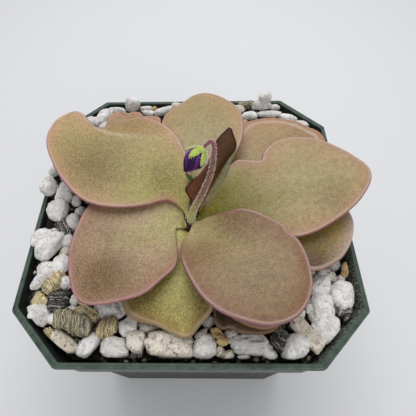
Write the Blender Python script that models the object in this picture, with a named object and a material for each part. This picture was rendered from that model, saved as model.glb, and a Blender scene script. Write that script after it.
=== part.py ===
"""A potted butterwort: a flat rosette of broad leaves with one flower bud, in a square green nursery pot.

Metres, +Z up. The origin is the middle of the pot's underside, +X is to the right of the front view, and
+Y points to the back. Lengths below are in millimetres and become metres when a mesh is made.
"""

import math
import random

import bmesh
import bpy
import numpy as np
from mathutils import Matrix, Vector, noise

MM = 0.001
GAP = 0.3

# The pot. A square section is its half width across the flats and the leg that is cut from each corner.
POT_HEIGHT = 83.0
WALL = 1.3
FLOOR = 1.5
BASE = (36.7, 7.2)
BODY_TOP = (41.2, 11.7)
COLLAR_FOOT = (43.7, 14.8)
COLLAR_TOP = (44.1, 15.0)
LIP = (44.5, 13.2)
LIP_MOUTH = (43.0, 12.8)
COLLAR_Z = 71.0
LIP_Z = 81.3
CORNER_ROUND = 2.5
EDGE_ROUND = 0.5
DRAIN_RADIUS = 2.7
DRAIN_RING = 27.0
DRAIN_HOLES = 8

# The rosette. The leaves leave a short upright stem, whose axis passes through CROWN.
CROWN = (0.0, -8.7)
CROWN_TOP = 88.3
CROWN_RADIUS = 2.0
CROWN_ROOT = 58.4
LEAF_START = CROWN_RADIUS + 0.35
LEAF_THICKNESS = 0.9
REACH = (3.0, 15.0, 30.0, 48.0)
LEAF_ROWS, LEAF_COLUMNS = 15, 9

# Each leaf's outline is in plan, from the stem's axis. z is the height of its upper face at each REACH.
# cup lifts both margins, tilt lifts the left side by its distance from the heading, edge bends the margin.
LEAVES = {
    "leaf_front_right_lowest": dict(
        heading=-57, base=1.3, z=(82.8, 83.6, 84.0, 83.8), cup=0.0, tilt=0.0, edge=-0.4,
        right=[(3.5, -12), (8, -21), (12, -26.5)], tip=(18, -28.5),
        left=[(23, -24.5), (22, -16.5), (11, -8.5)],
    ),
    "leaf_front_right_under": dict(
        heading=-57, base=1.3, z=(84.0, 85.2, 86.0, 85.8), cup=0.0, tilt=0.0, edge=-0.4,
        right=[(4, -12), (7.4, -22.8), (11.5, -27)], tip=(18.5, -28),
        left=[(22.8, -25), (22.5, -17), (11, -9)],
    ),
    "leaf_front_under": dict(
        heading=-126, base=1.2, z=(83.6, 84.0, 83.7, 83.0), cup=0.0, tilt=0.0, edge=-0.5,
        right=[(-8.5, -7.5), (-14.5, -14), (-16.8, -21)], tip=(-14.3, -24.5),
        left=[(-9, -25.5), (-5, -22), (-2.8, -12)],
    ),
    "leaf_back_left": dict(
        heading=112, base=1.3, z=(83.5, 85.0, 86.3, 86.0), cup=0.5, tilt=0.0, edge=0.0,
        right=[(-2.5, 14), (-6, 26), (-10.5, 39)], tip=(-21, 45.3),
        left=[(-28, 41), (-27, 31), (-16, 17)],
    ),
    "leaf_back_right": dict(
        heading=48, base=1.3, z=(83.5, 85.3, 87.4, 87.0), cup=0.0, tilt=0.0, edge=-0.8,
        right=[(15, 8), (29, 13.5), (40, 22)], tip=(41.5, 33),
        left=[(33, 38.5), (22, 39.5), (13, 31), (6, 16)],
    ),
    "leaf_right_under": dict(
        heading=-6, base=1.5, z=(85.4, 87.2, 88.8, 88.3), cup=-0.3, tilt=0.0, edge=-0.8,
        right=[(12, -5.5), (22, -11.5), (31.5, -13.8)], tip=(41, -6.5),
        left=[(44, 1), (40, 7), (28, 8), (14, 4.5)],
    ),
    "leaf_front": dict(
        heading=-100, base=1.6, z=(85.6, 87.6, 86.2, 84.2), cup=-0.4, tilt=0.0, edge=-0.8,
        right=[(-4.8, -9), (-10, -15), (-16, -20.5), (-14.5, -23.8), (-7, -27)], tip=(-0.3, -29.6),
        left=[(2.8, -26.6), (5.8, -22.6), (4.6, -14), (2.2, -7)],
    ),
    "leaf_back": dict(
        heading=88, base=1.3, z=(86.4, 91.2, 93.8, 91.5), cup=-0.4, tilt=-0.05, edge=-0.4,
        right=[(2.2, 5), (6.4, 11.5), (14.3, 21.5), (16, 30.5), (14, 39.8)], tip=(5, 47.5),
        left=[(-3, 44), (-9, 35), (-9, 24), (-5, 12)],
    ),
    "leaf_front_left": dict(
        heading=-160, base=2.0, z=(86.8, 89.6, 91.2, 91.8), cup=1.2, tilt=0.0, edge=0.0,
        right=[(-9, 4.5), (-19, 6.5), (-26.5, 3.5), (-29.4, -6)], tip=(-28, -18.5),
        left=[(-23.3, -23.8), (-14.2, -22.6), (-5.6, -14.8), (-3.4, -7.5)],
    ),
    "leaf_right": dict(
        heading=16, base=1.7, z=(86.8, 89.3, 92.4, 95.0), cup=0.4, tilt=0.0, edge=-0.3,
        right=[(12, -4), (20, -6), (28.4, -6.6), (38.2, -1.9), (45, 4)], tip=(48.6, 11),
        left=[(44.5, 17.8), (36.5, 24), (27.5, 25.2), (21.5, 22), (18, 19.2), (12.8, 14.5), (6.5, 5.5)],
    ),
    "leaf_left": dict(
        heading=140, base=2.0, z=(88.2, 92.6, 95.6, 96.5), cup=0.0, tilt=0.0, edge=0.0,
        right=[
            (0.3, 12), (-0.5, 19), (-4, 26), (-9, 31.2), (-16, 34), (-22, 33), (-26.5, 31), (-29.3, 30),
            (-32.4, 33), (-36, 33.2),
        ],
        tip=(-40.3, 29.8),
        left=[(-41.4, 22.5), (-38, 14.5), (-33.5, 8), (-27, 2.4), (-18.3, 1.3), (-10, 3.7)],
    ),
    "leaf_front_right": dict(
        heading=-36, base=2.0, z=(88.2, 92.7, 95.6, 94.0), cup=0.0, tilt=0.02, edge=-0.3,
        right=[(-1.6, -8.5), (-1, -14), (3, -21.5), (10, -26.8), (18, -29)], tip=(24, -26.2),
        left=[(27.8, -18), (26.8, -10.5), (22, -3.4), (15.5, 1.2), (8.5, 1.2)],
    ),
}
# The left leaf's back margin folds down past this line: its distance behind the stem, and the fold's
# slope, where it begins at the stem's side and how far out it is steep.
FOLD_Y = 25.0
FOLD_SLOPE = 1.1
FOLD_FROM, FOLD_LENGTH = -8.0, 20.0
FOLD_END, FOLD_FADE = -31.5, 4.0

# The young leaf stands up behind the stalk: points along its left margin and along its right fold.
YOUNG_LEFT = [
    (0.4, 2.4, 89.4), (0.0, 4.8, 91.6), (-1.3, 6.6, 93.9), (0.3, 7.8, 95.6), (3.8, 10.4, 99.0),
    (7.2, 15.6, 103.2), (10.2, 18.2, 105.0),
]
YOUNG_RIGHT = [
    (2.4, 2.4, 89.4), (4.8, 6.2, 92.2), (7.2, 9.0, 96.0), (9.6, 11.6, 99.4), (12.1, 14.2, 102.0),
    (10.9, 17.8, 104.9),
]
YOUNG_BULGE = 1.6
YOUNG_STRIP = (2.4, -0.6, -1.6)
YOUNG_ROWS, YOUNG_COLUMNS = 10, 5
LEAF_BUD = [(-0.8, 1.6, 89.4), (-1.9, 4.5, 90.4), (-2.6, 7.5, 91.6), (-2.2, 9.8, 93.6), (-1.5, 10.6, 95.8)]
LEAF_BUD_WIDTH = 1.1
LEAF_BUD_ROWS = 7

# The flower stalk's path from the stem's axis, with its radius at both ends, and the bud that hangs from it.
STALK = [
    (0.2, 0.1, 89.0), (0.4, 0.3, 90.0), (1.8, 1.7, 92.0), (3.6, 2.8, 95.0), (4.8, 3.7, 98.5),
    (5.6, 4.6, 101.5), (6.0, 5.8, 104.5), (6.3, 7.0, 107.3), (6.3, 8.0, 109.0), (5.7, 8.8, 110.1),
    (4.7, 8.7, 110.0),
]
STALK_RADIUS = (1.25, 0.55)
STALK_RINGS, STALK_SIDES = 22, 8
BUD_TOP = (3.9, 8.3, 109.2)
BUD_TIP = (-1.1, 4.9, 104.3)
BUD_SIDES = 20
PETAL_RADIUS = 2.1
PETAL_START = 1.0
PETAL_RINGS = 9
CALYX_START = 0.9
CALYX_WALL = 0.6
CALYX_REACH = 2.6
CALYX_LOBE = 2.0

# The top dressing: kind, place of the middle, width, depth and height, and turn in degrees about +Z.
STONES = [
    ("perlite", (-42.0, 5.5, 86.0), (4.8, 4.8, 4.5), 0),
    ("perlite", (-41.0, 11.0, 84.8), (4.5, 4.8, 5.5), 30),
    ("perlite", (-38.5, 5.5, 84.0), (4.5, 6.5, 6.0), 10),
    ("pumice", (-39.3, -2.0, 83.0), (6.5, 5.5, 5.5), 0),
    ("perlite", (-34.5, 1.5, 82.5), (3.5, 3.5, 3.5), 0),
    ("dark", (-35.8, -7.0, 82.3), (5.0, 5.0, 4.0), 30),
    ("perlite", (-33.0, -2.0, 82.0), (3.2, 3.2, 3.2), 0),
    ("perlite", (-39.6, -12.8, 83.5), (8.5, 9.0, 8.0), 0),
    ("perlite", (-34.7, -11.0, 82.6), (3.5, 3.5, 3.5), 0),
    ("pumice", (-35.2, -17.0, 82.3), (4.0, 3.6, 4.0), 0),
    ("perlite", (-39.0, -19.5, 82.5), (4.5, 3.6, 3.6), -20),
    ("perlite", (-39.5, -23.5, 82.3), (3.6, 4.0, 3.6), 0),
    ("gold", (-36.0, -23.7, 82.0), (4.0, 7.0, 4.0), -30),
    ("perlite", (-33.2, -23.7, 81.8), (3.0, 3.6, 3.6), 0),
    ("dark", (-33.3, -29.0, 81.3), (4.5, 5.5, 4.5), 5),
    ("perlite", (-38.2, -32.0, 81.8), (6.2, 6.2, 6.0), 0),
    ("gold", (-38.6, -28.2, 81.3), (3.3, 2.8, 3.0), 0),
    ("perlite", (-34.0, -33.0, 81.0), (2.6, 2.6, 3.0), 0),
    ("perlite", (-30.2, -28.3, 81.0), (2.7, 2.7, 3.0), 0),
    ("perlite", (-29.8, -30.8, 81.0), (2.7, 2.7, 3.0), 0),
    ("grey", (-28.5, -34.6, 81.0), (10.0, 5.2, 5.0), -25),
    ("gold", (-25.5, -31.8, 81.2), (6.2, 4.4, 4.0), -35),
    ("perlite", (-20.0, -31.0, 81.3), (8.2, 4.6, 5.0), -10),
    ("gold", (-19.5, -35.3, 81.0), (5.0, 4.2, 4.5), 15),
    ("pumice", (-15.1, -34.7, 81.0), (4.4, 4.8, 4.6), 0),
    ("pumice", (-30.6, -39.8, 80.8), (6.6, 4.2, 4.5), -40),
    ("gold", (-34.0, -37.0, 80.8), (3.0, 2.8, 3.0), 0),
    ("perlite", (-24.4, -39.2, 81.0), (5.4, 7.2, 6.2), -30),
    ("perlite", (-18.0, -39.7, 80.8), (5.8, 5.2, 5.5), 0),
    ("pumice", (-12.7, -38.6, 81.0), (4.2, 5.0, 6.0), 0),
    ("pumice", (-7.8, -38.0, 81.0), (7.0, 6.4, 6.4), 0),
    ("pumice", (-1.6, -39.4, 80.8), (6.8, 5.2, 5.6), -15),
    ("perlite", (-9.5, -34.6, 81.0), (4.6, 3.0, 4.0), 0),
    ("perlite", (3.9, -39.8, 81.0), (4.8, 5.2, 5.5), 0),
    ("gold", (7.2, -36.4, 80.8), (3.4, 5.6, 4.2), 25),
    ("pumice", (8.8, -40.6, 80.4), (4.8, 3.4, 4.0), 0),
    ("perlite", (14.4, -38.9, 81.0), (7.0, 5.6, 6.0), 0),
    ("perlite", (19.0, -40.3, 80.6), (4.6, 4.2, 5.0), -35),
    ("dark", (22.0, -37.4, 80.8), (3.9, 4.8, 4.4), -20),
    ("perlite", (25.7, -39.4, 81.0), (6.8, 6.4, 6.4), 0),
    ("pumice", (29.4, -36.6, 81.0), (5.4, 9.4, 6.0), 35),
    ("perlite", (33.7, -35.7, 81.0), (6.6, 7.0, 6.4), 0),
    ("perlite", (33.1, -31.7, 81.0), (4.8, 4.8, 5.5), 0),
    ("perlite", (33.6, -28.6, 81.2), (4.4, 4.6, 5.0), 0),
    ("perlite", (33.8, -23.8, 81.3), (5.6, 5.4, 5.5), 0),
    ("perlite", (38.9, -26.6, 81.2), (6.0, 7.2, 6.4), 20),
    ("pumice", (37.0, -21.0, 81.2), (6.2, 4.2, 4.5), 0),
    ("gold", (40.8, -20.4, 81.6), (2.6, 4.8, 3.5), 10),
    ("dark", (37.9, -31.2, 80.3), (3.2, 3.2, 3.0), 0),
    ("dark", (39.8, -32.4, 80.3), (2.4, 3.4, 3.0), 0),
    ("pumice", (-31.0, 35.6, 84.0), (4.0, 5.0, 6.0), 0),
    ("perlite", (-34.2, 32.2, 83.6), (4.4, 3.8, 4.4), 0),
    ("perlite", (-21.2, 39.8, 84.6), (4.8, 4.8, 7.4), 0),
    ("pumice", (-27.0, 39.0, 83.8), (5.2, 3.8, 4.6), 0),
    ("perlite", (-16.5, 38.8, 83.8), (4.6, 4.0, 4.6), 0),
    ("pumice", (-9.3, 38.8, 83.8), (7.2, 4.0, 4.6), 0),
    ("gold", (-13.6, 39.9, 83.6), (3.0, 3.0, 3.4), 20),
    ("pumice", (17.9, 40.2, 83.8), (5.0, 3.8, 4.6), 0),
    ("perlite", (24.5, 39.2, 86.0), (6.0, 5.4, 7.6), 0),
    ("pumice", (28.4, 39.0, 83.8), (5.8, 4.0, 4.6), 0),
    ("perlite", (19.3, 35.8, 83.6), (5.4, 4.0, 4.6), 0),
    ("perlite", (25.2, 35.6, 83.8), (7.2, 4.4, 4.8), 5),
    ("perlite", (32.2, 35.2, 83.8), (7.6, 4.4, 4.8), -10),
    ("perlite", (37.6, 31.3, 83.6), (4.6, 4.4, 4.8), 0),
]
# Where no stone is listed, smaller ones fill a loose grid.
FILL_PITCH = 8.0
FILL_SIZE = (4.6, 6.6)
FILL_SPREAD = 1.3
FILL_SEED = 11
FILL_EDGE, FILL_CORNER = 41.0, 69.0
STEM_ROOM = 6.5
FINE_STONE = 5.3

# The fine mix under the stones: its height at the front, and how much higher it is at the back and the left.
MIX_TOP = 79.4
HEAP_BACK = 3.2
HEAP_LEFT = 2.2

# Colour, roughness of each material.
COLOURS = {
    "pot": ((0.070, 0.130, 0.090), 0.45),
    "potting_mix": ((0.620, 0.580, 0.520), 0.90),
    "crown": ((0.060, 0.035, 0.020), 0.80),
    "leaf": ((0.330, 0.270, 0.130), 0.45),
    "young_leaf": ((0.150, 0.060, 0.035), 0.50),
    "leaf_bud": ((0.200, 0.240, 0.070), 0.50),
    "flower_stalk": ((0.280, 0.160, 0.080), 0.60),
    "calyx": ((0.420, 0.560, 0.080), 0.55),
    "petals": ((0.060, 0.012, 0.110), 0.40),
}


def smooth(value):
    """0 below 0, 1 above 1, and an even turn between."""
    value = np.clip(value, 0.0, 1.0)
    return value * value * (3.0 - 2.0 * value)


def material(name):
    colour, roughness = COLOURS[name]
    made = bpy.data.materials.get(name)
    if made is None:
        made = bpy.data.materials.new(name)
        made.use_nodes = True
        shader = made.node_tree.nodes["Principled BSDF"]
        shader.inputs["Base Color"].default_value = (*colour, 1.0)
        shader.inputs["Roughness"].default_value = roughness
        shader.inputs["Metallic"].default_value = 0.0
    return made


def solid(name, points, faces, finish, angle=None):
    """One mesh object from points in millimetres, with its faces turned outwards."""
    mesh = bpy.data.meshes.new(name)
    mesh.from_pydata([tuple(MM * float(c) for c in point) for point in points], [], faces)
    shape = bmesh.new()
    shape.from_mesh(mesh)
    bmesh.ops.remove_doubles(shape, verts=shape.verts, dist=1e-7)
    bmesh.ops.recalc_face_normals(shape, faces=shape.faces)
    if shape.calc_volume(signed=True) < 0:
        bmesh.ops.reverse_faces(shape, faces=shape.faces)
    shape.to_mesh(mesh)
    shape.free()
    if angle is not None:
        mesh.shade_smooth()
        mesh.set_sharp_from_angle(angle=math.radians(angle))
    made = bpy.data.objects.new(name, mesh)
    made.data.materials.append(material(finish))
    bpy.context.scene.collection.objects.link(made)
    return made


def stacked(rings, closed_start=True, closed_end=True):
    """Points and faces of a skin over rings that have the same number of points."""
    count = len(rings[0])
    points = [point for ring in rings for point in ring]
    faces = []
    for level in range(len(rings) - 1):
        for i in range(count):
            a, b = level * count + i, level * count + (i + 1) % count
            faces.append((a, b, b + count, a + count))
    if closed_start:
        faces.append(tuple(reversed(range(count))))
    if closed_end:
        faces.append(tuple(range(len(points) - count, len(points))))
    return points, faces


def cut_square(section, z, shrink=0.0):
    """The corners of a square section with cut corners, each bend rounded by a chord."""
    half, leg = section[0] - shrink, section[1] - shrink * (2.0 - math.sqrt(2.0))
    flat = half - leg
    corners = [(half, -flat), (half, flat), (flat, half), (-flat, half)]
    corners += [(-x, -y) for x, y in corners]
    ring = []
    for i, corner in enumerate(corners):
        before, after = Vector(corners[i - 1]), Vector(corners[(i + 1) % len(corners)])
        here = Vector(corner)
        reach = min(CORNER_ROUND * math.tan(math.radians(22.5)), (after - here).length / 3)
        for other in (before, after):
            x, y = here + (other - here).normalized() * reach
            ring.append((x, y, z))
    return ring


def between(low, high, share):
    return tuple(a + (b - a) * share for a, b in zip(low, high))


def make_pot():
    """Base, tapered body, collar and lip, turned in over the lip and down the inside to the floor."""
    floor_section = between(BASE, BODY_TOP, FLOOR / COLLAR_Z)
    profile = [
        (BASE, 0.0, EDGE_ROUND),
        (BASE, EDGE_ROUND, 0.0),
        (BODY_TOP, COLLAR_Z, 0.0),
        (COLLAR_FOOT, COLLAR_Z, 0.4),
        (COLLAR_FOOT, COLLAR_Z + 0.4, 0.0),
        (COLLAR_TOP, LIP_Z - 0.2, 0.0),
        (LIP, LIP_Z, 0.0),
        (LIP, POT_HEIGHT - EDGE_ROUND, 0.0),
        (LIP, POT_HEIGHT - 0.25 * EDGE_ROUND, 0.3 * EDGE_ROUND),
        (LIP, POT_HEIGHT, EDGE_ROUND),
        (LIP_MOUTH, POT_HEIGHT, 0.0),
        (LIP_MOUTH, POT_HEIGHT - 0.3, 0.15),
        (COLLAR_FOOT, COLLAR_Z + WALL + 0.3, WALL),
        (BODY_TOP, COLLAR_Z + WALL, WALL),
        (floor_section, FLOOR, WALL),
    ]
    rings = [cut_square(section, z, shrink) for section, z, shrink in profile]
    points, faces = stacked(rings)
    pot = solid("pot", points, faces, "pot", 30)
    for i in range(DRAIN_HOLES):
        angle = 2 * math.pi * i / DRAIN_HOLES
        reach = DRAIN_RING * (1.25 if i % 2 else 1.0)
        cut_hole(pot, reach * math.cos(angle), reach * math.sin(angle))


def cut_hole(pot, x, y):
    bpy.ops.mesh.primitive_cylinder_add(
        vertices=16, radius=MM * DRAIN_RADIUS, depth=MM * 4 * FLOOR, location=(MM * x, MM * y, MM * FLOOR / 2)
    )
    cutter = bpy.context.object
    cutter.name = "drain_hole_cutter"
    cutter.hide_render = True
    cutter.display_type = "WIRE"
    boolean = pot.modifiers.new("drain_hole", "BOOLEAN")
    boolean.operation = "DIFFERENCE"
    boolean.object = cutter


def hermite(knots, values, at):
    """A smooth curve through values at knots, read at each distance in at."""
    knots, values = np.asarray(knots, float), np.asarray(values, float)
    slopes = np.diff(values) / np.diff(knots)
    turns = np.concatenate([slopes[:1], (slopes[:-1] + slopes[1:]) / 2, slopes[-1:]])
    i = np.clip(np.searchsorted(knots, at, side="right") - 1, 0, len(knots) - 2)
    step = knots[i + 1] - knots[i]
    u = np.clip((at - knots[i]) / step, -0.3, 1.4)
    start = (2 * u**3 - 3 * u**2 + 1) * values[i] + (u**3 - 2 * u**2 + u) * step * turns[i]
    end = (3 * u**2 - 2 * u**3) * values[i + 1] + (u**3 - u**2) * step * turns[i + 1]
    return start + end


def rounded(points, steps=12):
    """A curve through the points whose bends follow the distances between them."""
    p = np.asarray(points, float)
    p = np.vstack([2 * p[0] - p[1], p, 2 * p[-1] - p[-2]])
    found = []
    for p0, p1, p2, p3 in zip(p, p[1:], p[2:], p[3:]):
        d0, d1, d2 = (math.sqrt(np.linalg.norm(b - a)) for a, b in ((p0, p1), (p1, p2), (p2, p3)))
        leave = d1 * ((p1 - p0) / d0 - (p2 - p0) / (d0 + d1) + (p2 - p1) / d1)
        arrive = d1 * ((p2 - p1) / d1 - (p3 - p1) / (d1 + d2) + (p3 - p2) / d2)
        for u in np.arange(steps) / steps:
            start = (2 * u**3 - 3 * u**2 + 1) * p1 + (u**3 - 2 * u**2 + u) * leave
            found.append(start + (3 * u**2 - 2 * u**3) * p2 + (u**3 - u**2) * arrive)
    found.append(p[-2])
    return np.array(found)


def spread(curve, shares):
    """Points of the curve at the given shares of its length."""
    lengths = np.concatenate([[0], np.cumsum(np.linalg.norm(np.diff(curve, axis=0), axis=1))])
    at = np.asarray(shares) * lengths[-1]
    return np.stack([np.interp(at, lengths, column) for column in curve.T], axis=1)


def leaf_sides(leaf):
    """The left and right margins of a leaf in plan, each from the stem to the tip."""
    angle = math.radians(leaf["heading"])
    ahead = np.array([math.cos(angle), math.sin(angle)])
    aside = np.array([-ahead[1], ahead[0]])
    start_left = LEAF_START * ahead + leaf["base"] * aside
    start_right = LEAF_START * ahead - leaf["base"] * aside
    loop = [start_left, *leaf["left"][::-1], leaf["tip"], *leaf["right"][::-1], start_right]
    outline = rounded(loop)
    tip = np.linalg.norm(outline - np.array(leaf["tip"]), axis=1).argmin()
    return outline[: tip + 1], outline[tip:][::-1]


def leaf_grid(leaf, rows, columns):
    """Points in plan by row and column, with each one's share along the leaf and place across it."""
    along = np.linspace(0, 1, rows)
    shares = 0.6 * np.sin(along * math.pi / 2) + 0.4 * along
    left, right = (spread(side, shares) for side in leaf_sides(leaf))
    across = np.linspace(-1, 1, columns)
    share = ((across + 1) / 2)[None, :, None]
    plan = left[:, None] * (1 - share) + right[:, None] * share
    return plan, *np.meshgrid(along, across, indexing="ij")


def leaf_height(name, plan, along, across):
    """The height of a leaf's upper face over each point of its plan."""
    leaf = LEAVES[name]
    x, y = plan[..., 0], plan[..., 1]
    reach = np.hypot(x, y)
    angle = math.radians(leaf["heading"])
    z = hermite(REACH, leaf["z"], reach)
    z = z + leaf["cup"] * smooth(reach / 20) * across**2 * (1 - along**8)
    z = z + leaf["tilt"] * (y * math.cos(angle) - x * math.sin(angle))
    margin = 1 - (1 - np.abs(across) ** 6) * (1 - along**10)
    z = z + leaf["edge"] * margin * smooth(reach / 10)
    if name == "leaf_left":
        steep = smooth((FOLD_FROM - x) / FOLD_LENGTH) * smooth((x - FOLD_END) / FOLD_FADE)
        z = z - FOLD_SLOPE * steep * np.maximum(y - FOLD_Y, 0)
    return z


def sheet(name, top, bottom, finish):
    """A closed solid between two grids of points, cut into triangles alike on both faces."""
    rows, columns = top.shape[:2]
    size = rows * columns
    points = np.concatenate([top.reshape(-1, 3), bottom.reshape(-1, 3)])
    faces = []
    for i in range(rows - 1):
        for j in range(columns - 1):
            a = i * columns + j
            b, c, d = a + 1, a + columns + 1, a + columns
            pair = [(a, b, c), (a, c, d)]
            if j >= columns // 2:
                pair = [(a, b, d), (b, c, d)]
            faces += pair
            faces += [tuple(size + k for k in reversed(face)) for face in pair]
    border = [j for j in range(columns)]
    border += [i * columns + columns - 1 for i in range(1, rows)]
    border += [(rows - 1) * columns + j for j in range(columns - 2, -1, -1)]
    border += [i * columns for i in range(rows - 2, 0, -1)]
    for a, b in zip(border, border[1:] + border[:1]):
        faces += [(b, a, size + a), (b, size + a, size + b)]
    merged = {}
    index = [merged.setdefault(tuple(np.round(point, 4)), len(merged)) for point in points]
    faces = [tuple(index[k] for k in face) for face in faces]
    faces = [face for face in faces if len(set(face)) == 3]
    return solid(name, list(merged), faces, finish, 40)


def make_leaves():
    for name, leaf in LEAVES.items():
        plan, along, across = leaf_grid(leaf, LEAF_ROWS, LEAF_COLUMNS)
        height = leaf_height(name, plan, along, across)
        top = np.concatenate([plan + np.array(CROWN), height[..., None]], axis=2)
        sheet(name, top, top - np.array([0, 0, LEAF_THICKNESS]), "leaf")


def make_young_leaf():
    """A curled sheet that bulges to the front, with its right margin rolled out into a narrow strip."""
    shares = np.linspace(0, 1, YOUNG_ROWS)
    left, right = (spread(rounded(side), shares) for side in (YOUNG_LEFT, YOUNG_RIGHT))
    middle = np.sin(math.pi * (0.12 + 0.8 * shares))[:, None]
    front = np.array([0.25, -0.75, 0.6])
    columns = []
    for share in np.linspace(0, 1, YOUNG_COLUMNS):
        bulge = YOUNG_BULGE * math.sin(math.pi * share) * middle * front
        columns.append(left * (1 - share) + right * share + bulge)
    columns.append(right + middle * np.array(YOUNG_STRIP))
    face = np.stack(columns, axis=1) + np.array([*CROWN, 0])
    back = face + LEAF_THICKNESS * np.array([-0.15, 0.75, -0.62])
    sheet("young_leaf", face, back, "young_leaf")


def make_leaf_bud():
    """A short narrow blade that stands up beside the stem."""
    shares = np.linspace(0, 1, LEAF_BUD_ROWS)
    spine = spread(rounded(LEAF_BUD), shares) + np.array([*CROWN, 0])
    width = LEAF_BUD_WIDTH * np.sqrt(1 - shares**4)[:, None]
    side = np.array([0.97, 0.2, 0.1])
    face = np.stack([spine + width * share * side for share in (-1, 0, 1)], axis=1)
    back = face + LEAF_THICKNESS * np.array([0.0, 0.6, -0.8])
    sheet("leaf_bud", face, back, "leaf_bud")


def tube(name, path, radii, sides, finish):
    """A round bar along a path, with flat ends, its section kept square to the path."""
    path = [Vector(point) for point in path]
    radii = [float(radius) for radius in radii]
    aside = Vector((1.0, 0.0, 0.0))
    rings = []
    for i, point in enumerate(path):
        ahead = (path[min(i + 1, len(path) - 1)] - path[max(i - 1, 0)]).normalized()
        aside = (aside - ahead * aside.dot(ahead)).normalized()
        up = ahead.cross(aside)
        ring = []
        for k in range(sides):
            angle = 2 * math.pi * k / sides
            ring.append(point + radii[i] * (math.cos(angle) * aside + math.sin(angle) * up))
        rings.append(ring)
    points, faces = stacked(rings)
    return solid(name, points, faces, finish, 50)


def make_stalk():
    shares = np.linspace(0, 1, STALK_RINGS)
    path = spread(rounded(STALK), shares) + np.array([*CROWN, 0])
    start, end = STALK_RADIUS
    radii = start + (end - start) * shares**0.7
    tube("flower_stalk", path, radii, STALK_SIDES, "flower_stalk")


def bud_frame():
    """The matrix that takes the bud's own axis, +Z from its top to its tip, to its place."""
    top, tip = (Vector((x + CROWN[0], y + CROWN[1], z)) for x, y, z in (BUD_TOP, BUD_TIP))
    turn = (tip - top).to_track_quat("Z", "Y").to_matrix().to_4x4()
    return Matrix.Translation(top) @ turn, (tip - top).length


def bud_angles():
    return [2 * math.pi * k / BUD_SIDES for k in range(BUD_SIDES)]


def bud_radius(share):
    """The furled bud's radius: slim at the calyx, full at two thirds and blunt at its tip."""
    share = max(share, 0.0)
    body = math.sin(math.pi * min(1.0, 0.12 + 0.86 * share)) ** 0.55
    return PETAL_RADIUS * body * (0.62 + 0.38 * share**0.6)


def make_petals():
    """The five petals wound round each other, each one's edge standing a little proud of the next."""
    place, length = bud_frame()
    rings = []
    for turn in np.linspace(0, 1, PETAL_RINGS):
        share = (1 - math.cos(math.pi * turn)) / 2
        z = PETAL_START + (length - PETAL_START) * share
        ring = []
        for angle in bud_angles():
            edge = (5 * angle / (2 * math.pi) + 0.8 * share) % 1.0
            radius = bud_radius(share) * (0.93 + 0.10 * edge) * (1 if turn < 1 else 0.4)
            ring.append(place @ Vector((radius * math.cos(angle), radius * math.sin(angle), z)))
        rings.append(ring)
    points, faces = stacked(rings)
    solid("petals", points, faces, "petals", 50)


def calyx_ring(place, length, reach, outer):
    """One ring of the calyx wall. reach goes from 0 at the stalk to 1 at the lobes' edge."""
    ring = []
    for angle in bud_angles():
        lobe = abs(math.cos(2.5 * angle)) ** 1.3
        z = CALYX_START + reach * (CALYX_REACH - CALYX_START + CALYX_LOBE * lobe)
        radius = 1.04 * bud_radius((z - PETAL_START) / (length - PETAL_START)) + GAP
        if outer:
            radius = radius + CALYX_WALL
        ring.append(place @ Vector((radius * math.cos(angle), radius * math.sin(angle), z)))
    return ring


def flat_ring(place, radius, z):
    return [place @ Vector((radius * math.cos(angle), radius * math.sin(angle), z)) for angle in bud_angles()]


def make_calyx():
    """A cup round the bud's top with five pointed lobes, its wall as thick as a leaf."""
    place, length = bud_frame()
    reaches = [0.0, 0.25, 0.5, 0.75, 1.0]
    inside = [calyx_ring(place, length, reach, False) for reach in reversed(reaches)]
    outside = [calyx_ring(place, length, reach, True) for reach in reaches]
    cap = [flat_ring(place, 0.9, 0.0), flat_ring(place, 1.3, 0.2)]
    floor = [flat_ring(place, 0.8, PETAL_START - GAP - 0.05)]
    points, faces = stacked(cap + outside + inside + floor)
    solid("calyx", points, faces, "calyx", 50)


def mix_level(x, y):
    """The height of the fine mix under the stones, heaped to the back and the left."""
    return MIX_TOP + HEAP_BACK * float(smooth((y - 2) / 34)) + HEAP_LEFT * float(smooth((-x - 24) / 14))


def make_mix_body():
    """The block of mix that fills the pot, with its surface in rings."""
    floor_section = between(BASE, BODY_TOP, (FLOOR + GAP) / COLLAR_Z)
    inside = WALL + GAP
    rings = [
        cut_square(floor_section, FLOOR + GAP, inside),
        cut_square(BODY_TOP, COLLAR_Z + WALL + GAP, inside),
        cut_square(COLLAR_FOOT, COLLAR_Z + WALL + 0.5 + GAP, inside + 0.1),
    ]
    brim = cut_square(COLLAR_FOOT, 0.0, inside)
    for share in (1.0, 0.85, 0.65, 0.45, 0.25, 0.1):
        rings.append([(share * x, share * y, mix_level(share * x, share * y)) for x, y, _ in brim])
    points, faces = stacked(rings)
    return solid("potting_mix", points, faces, "potting_mix")


def leaf_room(leaf_points, x, y, reach):
    """The height of the lowest leaf underside within reach of a place."""
    near = np.hypot(leaf_points[:, 0] - x, leaf_points[:, 1] - y) < reach
    return leaf_points[near, 2].min() if near.any() else 1000.0


def all_leaf_points():
    found = []
    for name, leaf in LEAVES.items():
        plan, along, across = leaf_grid(leaf, 28, 15)
        low = leaf_height(name, plan, along, across) - LEAF_THICKNESS
        found.append(np.column_stack([(plan + np.array(CROWN)).reshape(-1, 2), low.ravel()]))
    return np.concatenate(found)


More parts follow.
